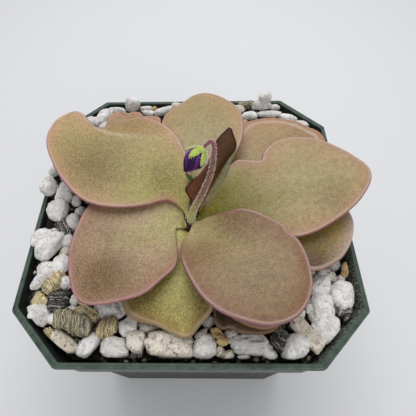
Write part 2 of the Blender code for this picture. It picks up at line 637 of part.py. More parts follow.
def lump(kind, place, size, turn, seed):
    """One stone: a rough ball of perlite or pumice, or a blunt block of vermiculite."""
    shape = bmesh.new()
    fine = seed < len(STONES) and max(size) > FINE_STONE
    if kind in ("perlite", "pumice"):
        bmesh.ops.create_icosphere(shape, subdivisions=2 if fine else 1, radius=0.5)
        rough = 0.10 if kind == "perlite" else 0.17
        for vert in shape.verts:
            vert.co *= 1 + rough * 2 * noise.noise(vert.co * 2.6 + Vector((seed * 7.3, seed * 3.1, 0)))
    else:
        bmesh.ops.create_cube(shape, size=0.9)
        if fine:
            bmesh.ops.bevel(shape, geom=shape.edges[:], offset=0.12, segments=1, affect="EDGES")
    tilt = Matrix.Rotation(math.radians(12 * math.sin(seed * 5.0)), 4, "X")
    stretch = Matrix.Diagonal((*(MM * s for s in size), 1.0))
    matrix = Matrix.Translation(MM * Vector(place)) @ Matrix.Rotation(math.radians(turn), 4, "Z")
    shape.transform(matrix @ tilt @ stretch)
    mesh = bpy.data.meshes.new("stone")
    shape.to_mesh(mesh)
    shape.free()
    return bpy.data.objects.new("stone", mesh)


def fill_stones():
    """Places and sizes of the stones of the loose grid, away from the listed ones and the stem."""
    draw = random.Random(FILL_SEED)
    stones = []
    steps = range(-7, 8)
    for row in steps:
        for column in steps:
            x = FILL_PITCH * (column + 0.5 * (row % 2)) + draw.uniform(-FILL_SPREAD, FILL_SPREAD)
            y = FILL_PITCH * 0.87 * row + draw.uniform(-FILL_SPREAD, FILL_SPREAD)
            size = draw.uniform(*FILL_SIZE)
            turn = draw.uniform(0, 90)
            kind = draw.choice(("perlite", "perlite", "pumice", "gold", "dark"))
            if max(abs(x), abs(y)) > FILL_EDGE - size / 2 or abs(x) + abs(y) > FILL_CORNER - size / 2:
                continue
            if math.hypot(x - CROWN[0], y - CROWN[1]) < STEM_ROOM:
                continue
            if any(math.hypot(x - p[0], y - p[1]) < 0.36 * (size + max(s[:2])) for _, p, s, _ in STONES):
                continue
            stones.append((kind, (x, y, mix_level(x, y) + 0.6), (size, size * 0.9, size * 0.85), turn))
    return stones


def make_potting_mix():
    """Mix and stones in one body, kept clear of the pot's wall, the leaves and the stem."""
    mix = make_mix_body()
    leaf_points = all_leaf_points()
    group = bpy.data.collections.new("stones")
    for seed, (kind, (x, y, z), size, turn) in enumerate(STONES + fill_stones()):
        room = leaf_room(leaf_points, x, y, 0.5 * max(size[:2]) + 0.5)
        z = min(z, room - 0.55 * size[2] - GAP)
        group.objects.link(lump(kind, (x, y, z), size, turn, seed))
    join = mix.modifiers.new("stones", "BOOLEAN")
    join.operation = "UNION"
    join.operand_type = "COLLECTION"
    join.collection = group
    apply_modifiers(mix)
    for stone in list(group.objects):
        bpy.data.objects.remove(stone)
    bpy.data.collections.remove(group)
    trim_to_pot(mix)
    cut_stem_hole(mix)


def apply_modifiers(made):
    bpy.context.view_layer.update()
    mesh = bpy.data.meshes.new_from_object(made.evaluated_get(bpy.context.evaluated_depsgraph_get()))
    made.modifiers.clear()
    made.data = mesh


def trim_to_pot(mix):
    """Cuts off what would reach into the pot's wall or lip."""
    mouth = POT_HEIGHT + GAP
    inside = WALL + GAP
    rings = [
        cut_square(between(BASE, BODY_TOP, 0.01), FLOOR + 0.1, inside - 0.1),
        cut_square(BODY_TOP, COLLAR_Z + WALL + GAP - 0.05, inside - 0.05),
        cut_square(COLLAR_FOOT, COLLAR_Z + WALL + 0.45 + GAP, inside - 0.02),
        cut_square(LIP_MOUTH, POT_HEIGHT - 0.4, 0.55),
        cut_square(LIP_MOUTH, mouth, 0.35),
        cut_square(LIP, mouth + 0.02, 0.0),
        cut_square(LIP, POT_HEIGHT + 20, 0.0),
    ]
    points, faces = stacked(rings)
    space = solid("pot_space", points, faces, "potting_mix")
    cut(mix, space, "INTERSECT")


def cut_stem_hole(mix):
    """A plain hole that the stem stands in, open at the top."""
    radius = CROWN_RADIUS + GAP + 0.05
    ends = [(*CROWN, CROWN_ROOT - GAP - 0.1), (*CROWN, CROWN_TOP + 10)]
    cut(mix, tube("stem_hole", ends, [radius, radius], 16, "crown"), "DIFFERENCE")


def cut(made, cutter, operation):
    boolean = made.modifiers.new("cut", "BOOLEAN")
    boolean.operation = operation
    boolean.object = cutter
    apply_modifiers(made)
    bpy.data.objects.remove(cutter)


def make_crown():
    """The short upright stem, with the stub of root below it."""
    heights = [CROWN_ROOT, CROWN_ROOT + 6, CROWN_ROOT + 14, CROWN_TOP - 1.2, CROWN_TOP]
    radii = [0.9, 1.5, CROWN_RADIUS, CROWN_RADIUS, CROWN_RADIUS - 0.5]
    tube("crown", [(*CROWN, z) for z in heights], radii, 14, "crown")


def main():
    for old in list(bpy.data.objects):
        bpy.data.objects.remove(old)
    make_pot()
    make_potting_mix()
    make_crown()
    make_leaves()
    make_young_leaf()
    make_leaf_bud()
    make_stalk()
    make_petals()
    make_calyx()


main()
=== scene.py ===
"""A potted butterwort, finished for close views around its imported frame.

Pieces are made in millimetres and become metres when their mesh is made. +Z is up, +Y points to the back,
and the origin is the middle of the pot's underside. The part has no joint, so every piece rides on root.
"""

import math
import random

import bmesh
import bpy
import numpy as np
from mathutils import Matrix, Vector, noise


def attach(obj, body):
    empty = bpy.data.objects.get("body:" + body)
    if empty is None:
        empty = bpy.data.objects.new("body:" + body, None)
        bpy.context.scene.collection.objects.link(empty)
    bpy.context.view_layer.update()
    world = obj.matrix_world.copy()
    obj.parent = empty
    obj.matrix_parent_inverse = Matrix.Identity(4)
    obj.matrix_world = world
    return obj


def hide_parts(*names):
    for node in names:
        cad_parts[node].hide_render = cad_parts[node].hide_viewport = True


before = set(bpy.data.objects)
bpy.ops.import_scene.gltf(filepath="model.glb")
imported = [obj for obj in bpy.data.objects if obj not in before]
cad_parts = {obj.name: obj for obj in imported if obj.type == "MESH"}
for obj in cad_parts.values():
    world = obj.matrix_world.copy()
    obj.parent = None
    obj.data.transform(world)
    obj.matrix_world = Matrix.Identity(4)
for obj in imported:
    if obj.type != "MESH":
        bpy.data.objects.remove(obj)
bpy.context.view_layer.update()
scene = bpy.context.scene

MM = 0.001

# The camera, solved from the corners of the pot's lip, collar and base: its place, its turn in radians, its
# lens and sensor, and the shift of its picture.
CAMERA_PLACE = (3.9025, -57.0991, 171.7697)
CAMERA_YAW, CAMERA_PITCH, CAMERA_ROLL = -0.03703, 1.00595, -0.03537
CAMERA_LENS = 31.0
CAMERA_SENSOR = 36.0
CAMERA_SHIFT = (0.0255, -0.0017)

# The lamps' places, sizes and watts, the point that they are turned to, and half the floor's side in metres.
LAMPS = (("softbox", (0, 240, 560), 460, 2.3), ("fill", (120, -460, 420), 400, 0.86))
LIT_POINT = (0, 0, 70)
FLOOR_HALF = 3.0

# The pot. A square section is its half width across the flats and the leg that is cut from each corner.
POT_HEIGHT = 83.0
WALL = 1.3
FLOOR = 1.5
BASE = (36.7, 7.2)
BODY_TOP = (41.2, 11.7)
COLLAR_FOOT = (43.7, 14.8)
COLLAR_TOP = (44.1, 15.0)
LIP = (44.65, 13.3)
LIP_MOUTH = (43.3, 12.95)
COLLAR_Z = 71.0
LIP_Z = 81.3
CORNER_ROUND = 1.3
DRAIN_RADIUS = 2.7
DRAIN_RING = 27.0
DRAIN_STAGGER = 1.25
DRAIN_HOLES = 8

# The rosette. Leaves grow from a short upright stem, whose axis passes through CROWN. A leaf starts at
# LEAF_START from it, FOOT_WIDTH times its base wide on each side. Where its foot is higher than LOW_FOOT it
# clasps the stem's top out to FOOT_REACH and lies FOOT_RISE over it. Heights are given at each REACH. A leaf
# is a grid of points, whose margins are finer by RIM_STEPS.
CROWN = (0.0, -8.7)
CROWN_TOP = 88.3
LEAF_START = 1.3
FOOT_WIDTH = 0.6
FOOT_RISE = 0.3
FOOT_REACH = 2.8
LOW_FOOT = 86.0
REACH = (3.0, 15.0, 30.0, 48.0)
LEAF_ROWS, LEAF_COLUMNS = 96, 46
RIM_STEPS = (0.0, 0.07, 0.17, 0.3, 0.48, 0.75, 1.2, 1.9)

# Each leaf's outline is in plan, from the stem's axis. base is the width of its foot and z the height of its
# upper face at each REACH. cup lifts both margins, tilt lifts the left side by its distance from the heading
# and edge bends the margin. thick is the blade's thickness, wave how far it undulates and pucker how far its
# margin does. What a leaf doesn't name is as usual.
USUAL_LEAF = dict(base=1.3, cup=0.0, tilt=0.0, thick=0.9, wave=0.2)
LEAVES = {
    "leaf_front_right_lowest": dict(
        USUAL_LEAF, heading=-57, z=(82.8, 83.6, 84.0, 83.8), edge=-0.4,
        right=[
            (3.5, -12), (5.6, -19), (5.9, -22.5), (6.2, -25.6), (8, -27.2), (9.9, -26.9), (11.8, -27.8),
            (14.1, -28.3),
        ],
        tip=(17.5, -28.3),
        left=[(20.7, -27.3), (22.4, -25.5), (22.5, -20), (22, -16.5), (11, -8.5)],
        wave=0.15, pucker=0.2,
    ),
    "leaf_front_right_under": dict(
        USUAL_LEAF, heading=-57, z=(84.0, 85.2, 86.0, 85.8), edge=-0.4,
        right=[(4, -12), (8.1, -22.4), (9, -23.7), (10.6, -25.1), (12.2, -26), (14.5, -27)],
        tip=(18, -27.6),
        left=[(20.3, -27.1), (21.8, -26.2), (22.8, -22), (22.5, -17), (11, -9)],
        wave=0.15, pucker=0.2,
    ),
    "leaf_front_under": dict(
        USUAL_LEAF, heading=-126, base=1.2, z=(83.6, 84.0, 83.7, 83.0), edge=-0.5,
        right=[(-8.5, -7.5), (-14.5, -14), (-16.8, -21)],
        tip=(-14.3, -24.5),
        left=[(-9, -25.5), (-5, -22), (-2.8, -12)],
        wave=0.15, pucker=0.25,
    ),
    "leaf_back_left": dict(
        USUAL_LEAF, heading=112, z=(83.5, 85.0, 86.3, 86.0), cup=0.5, edge=0.0,
        right=[(-2.5, 14), (-6, 26), (-10.2, 38), (-10.9, 41.2), (-13.4, 42.2), (-16.5, 42.6), (-18, 44.4)],
        tip=(-20.8, 45.1),
        left=[
            (-22.7, 43.9), (-23.5, 43.2), (-25.2, 44.6), (-27.4, 43.2), (-28.7, 40), (-28.4, 33), (-16, 17),
        ],
        pucker=0.25,
    ),
    "leaf_back_right": dict(
        USUAL_LEAF, heading=48, z=(83.5, 85.3, 87.4, 87.0), edge=-0.8,
        right=[(15, 8), (29, 13.5), (40, 22)],
        tip=(42.1, 32.4),
        left=[(37.1, 37.3), (31, 40.6), (23.3, 41.1), (18, 39.2), (13, 33), (6, 16)],
        pucker=0.3,
    ),
    "leaf_right_under": dict(
        USUAL_LEAF, heading=-6, base=1.5, z=(85.4, 87.2, 88.8, 88.3), cup=-0.3, edge=-0.8,
        right=[(12, -5.5), (22, -11), (28.5, -13.5), (31.8, -13.9), (35.3, -12.6), (38.6, -10.5)],
        tip=(41.1, -7.5),
        left=[(42.4, -5), (43.7, -1.5), (44, 1.8), (43, 4.8), (39, 7.5), (28, 8), (14, 4.5)],
        pucker=0.35,
    ),
    "leaf_front": dict(
        USUAL_LEAF, heading=-100, base=2.4, z=(86.0, 87.4, 86.2, 84.2), cup=-0.4, edge=-0.8,
        right=[(-3.9, -0.6), (-5, -3.5), (-5.4, -9), (-10, -15), (-16, -20.5), (-14.5, -23.8), (-7, -27)],
        tip=(-0.3, -29.6),
        left=[(2.8, -26.6), (5.8, -22.6), (4.6, -14), (2.4, -7), (1.6, -2.5)],
        wave=0.25, pucker=0.4,
    ),
    "leaf_back": dict(
        USUAL_LEAF, heading=88, z=(86.4, 91.2, 93.8, 91.5), cup=-0.4, tilt=-0.05, edge=-0.4,
        right=[
            (2.2, 5), (6.4, 11.5), (13.9, 21.7), (15.5, 27), (15.9, 32.6), (15.2, 38), (12.6, 42.7),
            (9.2, 46.1),
        ],
        tip=(4.2, 47.3),
        left=[(1.2, 47.2), (-0.1, 46.8), (-3.6, 43), (-7, 39.1), (-8.9, 36), (-9.2, 24), (-5, 12)],
        thick=0.95, pucker=0.1,
    ),
    "leaf_front_left": dict(
        USUAL_LEAF, heading=-160, base=2.0, z=(86.8, 89.6, 91.2, 91.8), cup=1.2, edge=0.0,
        right=[(-1.9, 4), (-3.5, 5.8), (-6, 6.9), (-9, 7.3), (-19, 6.9), (-26.5, 3.5), (-29.4, -6)],
        tip=(-28, -18.5),
        left=[
            (-23.3, -23.8), (-13.9, -22.6), (-9.9, -20.9), (-6, -17.1), (-3.4, -14), (-2.8, -10.5),
            (-3.5, -5.2), (-3.7, -1.4),
        ],
        thick=1.0, pucker=0.12,
    ),
    "leaf_right": dict(
        USUAL_LEAF, heading=16, base=1.7, z=(86.8, 89.3, 92.4, 95.0), cup=0.4, edge=-0.3,
        right=[(12, -4), (20, -6), (28.4, -6.6), (38.2, -1.9), (45, 4)],
        tip=(48.6, 11),
        left=[
            (44.5, 17.8), (36.5, 24), (27.5, 25.2), (23, 23), (20.9, 20.4), (20.1, 18), (17.6, 18.4),
            (13.0, 19), (7.8, 13.2), (3.6, 5.8),
        ],
        thick=1.0, pucker=0.1,
    ),
    "leaf_left": dict(
        USUAL_LEAF, heading=140, base=1.2, z=(88.2, 92.6, 95.6, 96.5), edge=0.0,
        right=[
            (0.3, 12), (-0.6, 17), (-1.8, 20.8), (-3.7, 24.7), (-6.7, 28.1), (-9.6, 30.4), (-12.7, 32.5),
            (-16.3, 34.2), (-20.2, 35), (-23.4, 35), (-25.4, 33.8), (-26.5, 31.8), (-27.6, 29.8), (-29, 29.2),
            (-30.4, 30.4), (-32.2, 32.8), (-35.3, 34.1),
        ],
        tip=(-40.3, 29.8),
        left=[
            (-41.4, 22.5), (-38, 14.5), (-33.5, 8), (-27, 2.4), (-18.3, 1.3), (-10.7, 3.7), (-8.5, 4.9),
            (-6.1, 5.7), (-4.4, 5.2), (-2.8, 4.1), (-1.5, 2.6),
        ],
        thick=1.0, pucker=0.08,
    ),
    "leaf_front_right": dict(
        USUAL_LEAF, heading=-36, base=2.0, z=(88.2, 92.7, 95.6, 94.0), tilt=0.02, edge=-0.3,
        right=[
            (-0.5, -3.2), (-1.7, -5.6), (-2.3, -8.5), (-1.7, -13), (2.4, -21.5), (6.5, -25.6), (12, -28.1),
            (18, -29.1),
        ],
        tip=(24, -26.9),
        left=[
            (27.6, -21.5), (28.1, -16.5), (27.4, -11.8), (26.2, -8.7), (24.5, -6.8), (23.8, -5), (20.3, -1.8),
            (16.9, 0.6), (13.5, 1.9), (8.5, 1.5), (4.6, 1.3),
        ],
        thick=1.3, wave=0.15, pucker=0.06,
    ),
}
# The left leaf's back margin folds down behind a line: its distance behind the stem, how it bends back
# to the left of FOLD_CURL, how fast the fold deepens from FOLD_FROM outwards, and where it is steepest.
FOLD_Y = 24.7
FOLD_CURL, FOLD_CURVE = -16.0, 0.022
FOLD_FROM, FOLD_DEEPENS = -8.0, 0.034
FOLD_STEEP = (-25.0, 2.5, 0.5)
FOLD_END, FOLD_FADE = -31.5, 3.5
FOLD_BEND = 0.8

# Each leaf's colours as sRGB, with lengths in millimetres. base is how far its green foot reaches, streak
# how far green runs on along the midrib, band the width of its tanned margin, tan_from the reach where that
# begins and blush the width of the pink band inside the rim. shine is how bright the painted highlight along
# its rounded margin is, crest how far in that highlight lies and how wide it is, speck how strong its speckle
# is and glint how thickly its glands glisten. patches are darker places: from the stem, with radius and
# strength. What a leaf doesn't name is as usual.
USUAL_LOOK = dict(
    tan_from=6, streak=0, blush=0.3, shine=0.2, glint=0.2, speck=0.12, crest=(0.5, 0.2), patches=[],
)
LEAF_LOOKS = {
    "leaf_front_right_lowest": dict(
        USUAL_LOOK, green="#5E5138", blade="#604A34", outer="#705438", rim="#80604A", dark="#2E2318",
        base=14, band=2.0, shine=0.1, glint=0.0, patches=[((8, -21.5), 6, 0.9)],
    ),
    "leaf_front_right_under": dict(
        USUAL_LOOK, green="#6A5C40", blade="#74583C", outer="#84644A", rim="#A2785E", dark="#3E2C1C",
        base=14, band=2.0, glint=0.0, patches=[((11, -21), 7, 0.8)],
    ),
    "leaf_front_under": dict(
        USUAL_LOOK, green="#857D4C", blade="#94734F", outer="#A88560", rim="#B0906C", dark="#5E4630",
        base=12, band=3.0,
    ),
    "leaf_back_left": dict(
        USUAL_LOOK, green="#98905C", blade="#A37C5C", outer="#AC8464", rim="#B07C6C", dark="#80603E",
        base=14, band=3.0, blush=0.6, glint=0.0, patches=[((-26, 36), 5, 0.4)],
    ),
    "leaf_back_right": dict(
        USUAL_LOOK, green="#A09862", blade="#A48960", outer="#AE8468", rim="#AC7C74", dark="#80603E",
        base=30, tan_from=8, band=4.0, blush=1.6, shine=0.45, crest=(2.7, 0.6),
        patches=[((36, 34), 5, 0.3)],
    ),
    "leaf_right_under": dict(
        USUAL_LOOK, green="#968C3C", blade="#9A8044", outer="#B49C94", rim="#A8806E", dark="#583C14",
        base=34, tan_from=10, band=2.4, blush=0.6, shine=0.4, glint=0.3,
        patches=[((34, -7), 4.5, 0.5), ((31, -11.5), 5.5, 0.9)],
    ),
    "leaf_front": dict(
        USUAL_LOOK, green="#BEB868", blade="#A99F58", outer="#A0824A", rim="#A9906C", dark="#6E5C28",
        base=18, tan_from=12, streak=8, band=2.6, blush=0.8, shine=0.3, speck=0.22, glint=1.0,
        patches=[((-12, -19), 7, 0.7), ((4, -22), 6, 0.6), ((-9, -9), 5, 0.5)],
    ),
    "leaf_back": dict(
        USUAL_LOOK, green="#9A9C64", blade="#9C8C60", outer="#B0926C", rim="#A0707A", dark="#7F6B42",
        base=26, tan_from=10, streak=22, band=6.0, blush=1.0, shine=0.35, glint=0.1,
        patches=[((12, 22), 6, 0.35)],
    ),
    "leaf_front_left": dict(
        USUAL_LOOK, green="#AAA068", blade="#B49C7A", outer="#9B765A", rim="#A06A74", dark="#74542A",
        base=12, streak=18, band=6.0, blush=1.6, shine=0.15, speck=0.2, glint=0.7,
        patches=[((-20, -16.5), 8.5, 0.95), ((-22, -6), 7, 0.45)],
    ),
    "leaf_right": dict(
        USUAL_LOOK, green="#787002", blade="#9C8E62", outer="#A6865E", rim="#9C626C", dark="#78662E",
        base=24, tan_from=17, streak=25, band=7.0, blush=1.9, shine=0.4, glint=0.35,
        patches=[((37.5, 4), 5.5, 0.45), ((17, 5), 6, 0.35), ((29, -3.5), 5, 0.15)],
    ),
    "leaf_left": dict(
        USUAL_LOOK, green="#A69C56", blade="#A09058", outer="#BA966A", rim="#9C6270", dark="#7C6632",
        base=24, tan_from=14, streak=12, band=5.0, blush=1.9, shine=0.35, speck=0.15,
        patches=[((-26, 13.5), 10, 0.75), ((-8, 12), 6, 0.5), ((-19, 22), 5, 0.3)],
    ),
    "leaf_front_right": dict(
        USUAL_LOOK, green="#B6A474", blade="#937D58", outer="#805B3C", rim="#97606E", dark="#725638",
        base=8, tan_from=5, streak=15, band=5.5, blush=1.2, shine=0.45, speck=0.15, glint=0.35,
        patches=[((12, -4), 6, 0.5), ((16, -20), 7, 0.3)],
    ),
}

# The young leaf stands up behind the stalk: points along its left margin and along its right fold, how far
# it bulges to the front, where the strip that is rolled out from the fold goes, and the width of its dark
# line. The leaf bud is a line of points with a half width.
YOUNG_LEFT = [
    (0.4, 2.4, 89.4), (0.0, 4.8, 91.6), (-1.3, 6.6, 93.9), (0.3, 7.8, 95.6), (3.8, 10.4, 99.0),
    (7.2, 15.6, 103.2), (10.2, 18.2, 105.0),
]
YOUNG_RIGHT = [
    (2.4, 2.4, 89.4), (4.8, 6.2, 92.2), (7.2, 9.0, 96.0), (9.6, 11.6, 99.4), (12.1, 14.2, 102.0),
    (10.9, 17.8, 104.9),
]
YOUNG_BULGE = 1.6
YOUNG_STRIP = (1.8, -0.6, -1.3)
YOUNG_RIM = 0.5
LEAF_BUD = [
    (0.9, 2.6, 88.6), (2.2, 5.0, 89.0), (2.6, 7.6, 89.8), (1.6, 9.6, 91.0), (0.1, 11.0, 92.5),
    (-1.3, 12.0, 94.4),
]
LEAF_BUD_WIDTH = 1.0
YOUNG_THICKNESS = 0.7

# The flower stalk's path from the stem's axis, with its radius at both ends, and the bud that hangs from it.
STALK = [
    (0.2, 0.1, 87.5), (0.4, 0.3, 89.6), (1.1, 1.6, 92.0), (2.6, 2.7, 95.0), (4.0, 3.7, 98.5),
    (5.1, 4.6, 101.5), (5.8, 5.8, 104.5), (6.1, 7.0, 107.3), (6.1, 8.0, 109.3), (5.6, 8.6, 110.1),
    (4.7, 8.5, 109.6), (3.8, 8.0, 108.6),
]
STALK_RADIUS = (0.95, 0.46)
BUD_TOP = (3.8, 8.0, 108.6)
BUD_TIP = (-0.5, 4.7, 104.5)
PETALS = SEPALS = 5
PETAL_RADIUS = 2.6
PETAL_START = 1.0
CALYX_LENGTH = 2.8

# The top dressing: kind, place of the middle, size and turn in degrees about +Z. The first size of gold, dark
# and grey vermiculite is along its pack of leaves, and husk is pumice that is stained brown like a seed husk.
STONES = [
    ("pumice", (-30.2, -38.6, 81.2), (7.8, 3.8, 3.6), -34),
    ("perlite", (-24.4, -39.0, 81.2), (6.8, 5.1, 4.3), 55),
    ("perlite", (-17.8, -39.7, 81.2), (6.4, 5.3, 4.5), 0),
    ("pumice", (-12.8, -38.4, 81.6), (4.5, 5.4, 3.8), 0),
    ("dark", (-12.7, -41.2, 79.8), (3.2, 2.4, 2.1), 0),
    ("pumice", (-4.4, -38.9, 81.2), (11.9, 6.5, 5.5), -3),
    ("perlite", (3.8, -39.5, 81.2), (5.5, 6.1, 4.7), 0),
    ("pumice", (3.0, -36.9, 80.6), (3.2, 3.9, 2.7), 0),
    ("perlite", (-15.2, -34.6, 81.0), (4.5, 5.0, 3.8), 0),
    ("pumice", (-9.9, -34.6, 80.6), (5.7, 3.3, 3.2), 0),
    ("perlite", (-20.1, -30.6, 81.2), (8.4, 4.9, 4.7), 0),
    ("gold", (-19.8, -35.5, 82.6), (4.9, 4.6, 4.0), 9),
    ("gold", (-25.5, -31.7, 82.2), (3.6, 7.0, 3.2), 53),
    ("grey", (-28.4, -34.2, 82.8), (9.8, 5.8, 4.8), -14),
    ("dark", (-33.6, -28.5, 81.6), (5.1, 5.7, 4.4), 90),
    ("perlite", (-29.6, -28.2, 81.3), (2.6, 2.7, 2.2), 0),
    ("perlite", (-30.2, -30.7, 81.0), (2.8, 2.7, 2.3), 0),
    ("perlite", (-34.5, -32.7, 81.0), (3.1, 3.1, 2.6), 0),
    ("perlite", (-33.4, -23.5, 81.2), (3.5, 3.8, 3.0), 0),
    ("gold", (-38.4, -28.7, 81.4), (4.2, 4.2, 3.2), -30),
    ("perlite", (-38.2, -32.4, 82.2), (6.4, 6.2, 4.8), -50),
    ("gold", (-34.7, -36.6, 81.4), (3.1, 3.0, 2.5), 51),
    ("gold", (-30.4, -37.8, 81.8), (1.7, 3.7, 1.6), 79),
    ("dark", (-28.1, -38.9, 79.8), (2.5, 3.4, 2.1), 0),
    ("perlite", (-38.2, -20.5, 82.4), (5.7, 5.2, 4.4), 0),
    ("perlite", (-39.4, -22.6, 82.4), (7.0, 3.5, 3.2), 56),
    ("gold", (-35.7, -23.5, 82.0), (7.1, 4.5, 3.8), 64),
    ("dark", (-39.5, -25.8, 80.2), (3.2, 3.5, 2.7), 0),
    ("perlite", (-35.1, -18.5, 82.4), (4.6, 5.3, 3.9), 0),
    ("pumice", (-34.8, -14.7, 82.0), (2.8, 2.7, 2.3), 0),
    ("perlite", (-42.3, 5.1, 85.7), (4.8, 6.0, 4.9), 0),
    ("perlite", (-42.7, 11.5, 84.9), (3.1, 4.2, 2.7), 0),
    ("perlite", (-37.7, 3.0, 84.6), (4.8, 6.6, 4.1), 0),
    ("perlite", (-34.1, 1.1, 83.4), (2.7, 3.3, 2.3), 0),
    ("perlite", (-38.8, -2.8, 84.0), (6.3, 6.9, 5.7), 0),
    ("perlite", (-32.7, -2.0, 82.8), (3.0, 3.3, 2.5), 0),
    ("perlite", (-34.0, -5.7, 83.0), (4.1, 5.2, 3.5), 0),
    ("dark", (-35.8, -7.7, 82.8), (4.3, 5.9, 3.7), 44),
    ("perlite", (-34.7, -11.6, 82.6), (3.4, 4.0, 2.9), 0),
    ("perlite", (-41.2, -11.9, 83.8), (5.6, 6.5, 4.8), 0),
    ("perlite", (-38.4, -13.8, 83.8), (6.4, 9.2, 5.4), 0),
    ("perlite", (-30.7, 36.0, 83.6), (4.9, 7.5, 4.4), 0),
    ("perlite", (-34.3, 33.2, 84.0), (4.9, 3.9, 3.3), 0),
    ("perlite", (-27.1, 39.7, 83.2), (6.4, 1.9, 2.2), 0),
    ("perlite", (-21.2, 40.3, 85.2), (5.2, 3.4, 5.2), 0),
    ("perlite", (-16.8, 40.7, 83.0), (4.4, 1.9, 2.1), 0),
    ("perlite", (-15.9, 38.6, 82.8), (4.4, 2.1, 2.0), 0),
    ("husk", (-13.6, 40.7, 82.9), (2.2, 2.0, 2.0), 0),
    ("perlite", (-10.4, 39.6, 83.0), (7.6, 2.8, 2.6), 25),
    ("grey", (18.6, 41.8, 83.4), (5.0, 2.8, 3.0), 10),
    ("dark", (14.7, 42.4, 82.2), (3.0, 2.0, 1.8), 0),
    ("dark", (21.6, 40.4, 82.2), (2.6, 2.4, 2.0), 0),
    ("perlite", (24.1, 40.8, 84.6), (6.6, 3.4, 4.0), 0),
    ("perlite", (24.9, 41.0, 87.6), (4.4, 3.0, 3.6), 0),
    ("perlite", (28.9, 41.1, 82.8), (3.8, 2.2, 2.4), 0),
    ("perlite", (19.5, 37.0, 82.8), (5.6, 3.0, 2.8), 0),
    ("perlite", (26.7, 37.6, 82.6), (8.4, 2.8, 2.6), 0),
    ("perlite", (33.3, 36.0, 82.5), (6.8, 3.0, 2.6), -25),
    ("perlite", (37.7, 32.6, 82.6), (5.2, 3.2, 3.0), 0),
    ("husk", (7.2, -37.2, 82.0), (5.2, 2.6, 2.4), -55),
    ("pumice", (10.6, -36.9, 80.8), (3.7, 3.5, 2.9), 0),
    ("pumice", (7.5, -40.4, 80.6), (2.4, 2.7, 2.0), 0),
    ("pumice", (9.2, -41.2, 80.8), (3.1, 2.4, 2.1), 0),
    ("perlite", (13.1, -41.7, 80.2), (3.1, 1.3, 1.5), 0),
    ("perlite", (15.1, -38.8, 80.7), (9.7, 5.0, 4.6), 0),
    ("perlite", (19.2, -40.9, 80.8), (4.0, 2.8, 2.4), -34),
    ("dark", (21.9, -37.7, 81.4), (4.6, 4.6, 3.4), 50),
    ("perlite", (25.6, -39.4, 81.4), (7.0, 6.6, 5.6), 0),
    ("pumice", (28.9, -36.6, 80.8), (10.9, 4.1, 4.5), -51),
    ("perlite", (33.8, -35.8, 80.7), (7.2, 7.5, 6.1), 0),
    ("perlite", (33.4, -30.6, 80.7), (6.7, 7.6, 5.7), 0),
    ("perlite", (34.2, -24.6, 80.7), (5.4, 7.1, 4.6), 0),
    ("pumice", (36.6, -21.2, 80.9), (6.6, 4.5, 3.9), 0),
    ("perlite", (39.1, -26.9, 81.3), (6.3, 7.3, 5.4), 0),
    ("perlite", (40.2, -21.8, 80.5), (1.8, 2.1, 1.6), 0),
    ("husk", (41.6, -19.8, 81.3), (4.6, 2.7, 2.6), 80),
    ("dark", (37.9, -31.0, 81.4), (2.8, 2.4, 2.1), 0),
    ("dark", (39.8, -32.0, 81.6), (4.4, 2.8, 2.4), 90),
    ("perlite", (30.3, -30.3, 81.4), (2.0, 2.4, 1.7), 0),
    ("perlite", (32.8, -20.2, 80.7), (1.9, 2.1, 1.6), 0),
]

# Where no stone is listed, smaller ones fill a loose grid: its pitch, the rows' distance as a share of it,
# its steps, the stones' sizes, how far each strays, how near one may come to a listed one for their sizes,
# the seed, the pot's inner wall across the flats and the corners, and the room left round the stem.
FILL_PITCH = 8.0
FILL_ROWS = 0.87
FILL_STEPS = range(-7, 8)
FILL_SIZE = (4.6, 6.6)
FILL_SPREAD = 1.3
FILL_NEAR = 0.36
FILL_SEED = 11
FILL_EDGE, FILL_CORNER = 41.0, 69.0
STEM_ROOM = 6.5

# All stones: the gap that they keep from the leaves, how much the listed ones are swollen to close up, the
# pot's inner wall across the flats and the corners, the share of it where they begin to be drawn in, how far
# above the rim that ends and over what height it fades, their rocking in degrees, the size from which they
# get a finer skin, and the share of their height that may stand in a leaf before they are lowered.
STONE_GAP = 0.35
STONE_SWELL = 1.06
STONE_EDGE, STONE_CORNER = 42.8, 72.5
STONE_KNEE = 0.94
STONE_FREE, STONE_FREE_FADE = 2.2, 0.9
STONE_ROCK = 14.0
BIG_STONE = 6.2
STONE_UNDER_LEAF = 0.45

# Smaller stones pack the room between those: sizes, seed, tries, how near two may come for their sizes, and
# the reach from the stem inside which the leaves hide the mix.
PACK_SIZE = (2.6, 5.2)
PACK_SEED = 5
PACK_TRIES = 6000
PACK_NEAR = 0.37
UNDER_LEAVES = 16.0

# The leaves' undersides are kept as heights on a grid: the size of a cell, and half the number of cells.
LEAF_CELL = 0.7
LEAF_CELLS = 80

# The fine mix under the stones: its height at the front, how much higher it is at the back and the left, how
# rough its surface is, and the height above which it is surface and carries grit.
MIX_TOP = 78.6
HEAP_BACK = 3.2
HEAP_LEFT = 2.2
MIX_ROUGH = 0.7
MIX_SURFACE = 76.0

# Small repeats: the mask that they follow, least spacing, density per square metre, smallest and largest
# size, and how far they lean in radians.
GLANDS = dict(
    Mask="glands", Spacing=0.75 * MM, Density=1.1e6, Smallest=0.16 * MM, Largest=0.30 * MM, Lean=0.2,
)
HAIRS = dict(Mask="hairs", Density=2e7, Smallest=0.24 * MM, Largest=0.38 * MM, Lean=0.2, Seed=3)
STALK_HAIR_SPACING, CALYX_HAIR_SPACING = 0.22 * MM, 0.26 * MM
GRIT = dict(Mask="top", Spacing=1.25 * MM, Density=8e5, Smallest=0.7 * MM, Largest=2.0 * MM, Lean=1.0, Seed=5)


USUAL_SETTINGS = {"Mix": {"data_type": "RGBA"}, "Math": {"operation": "MULTIPLY"}}


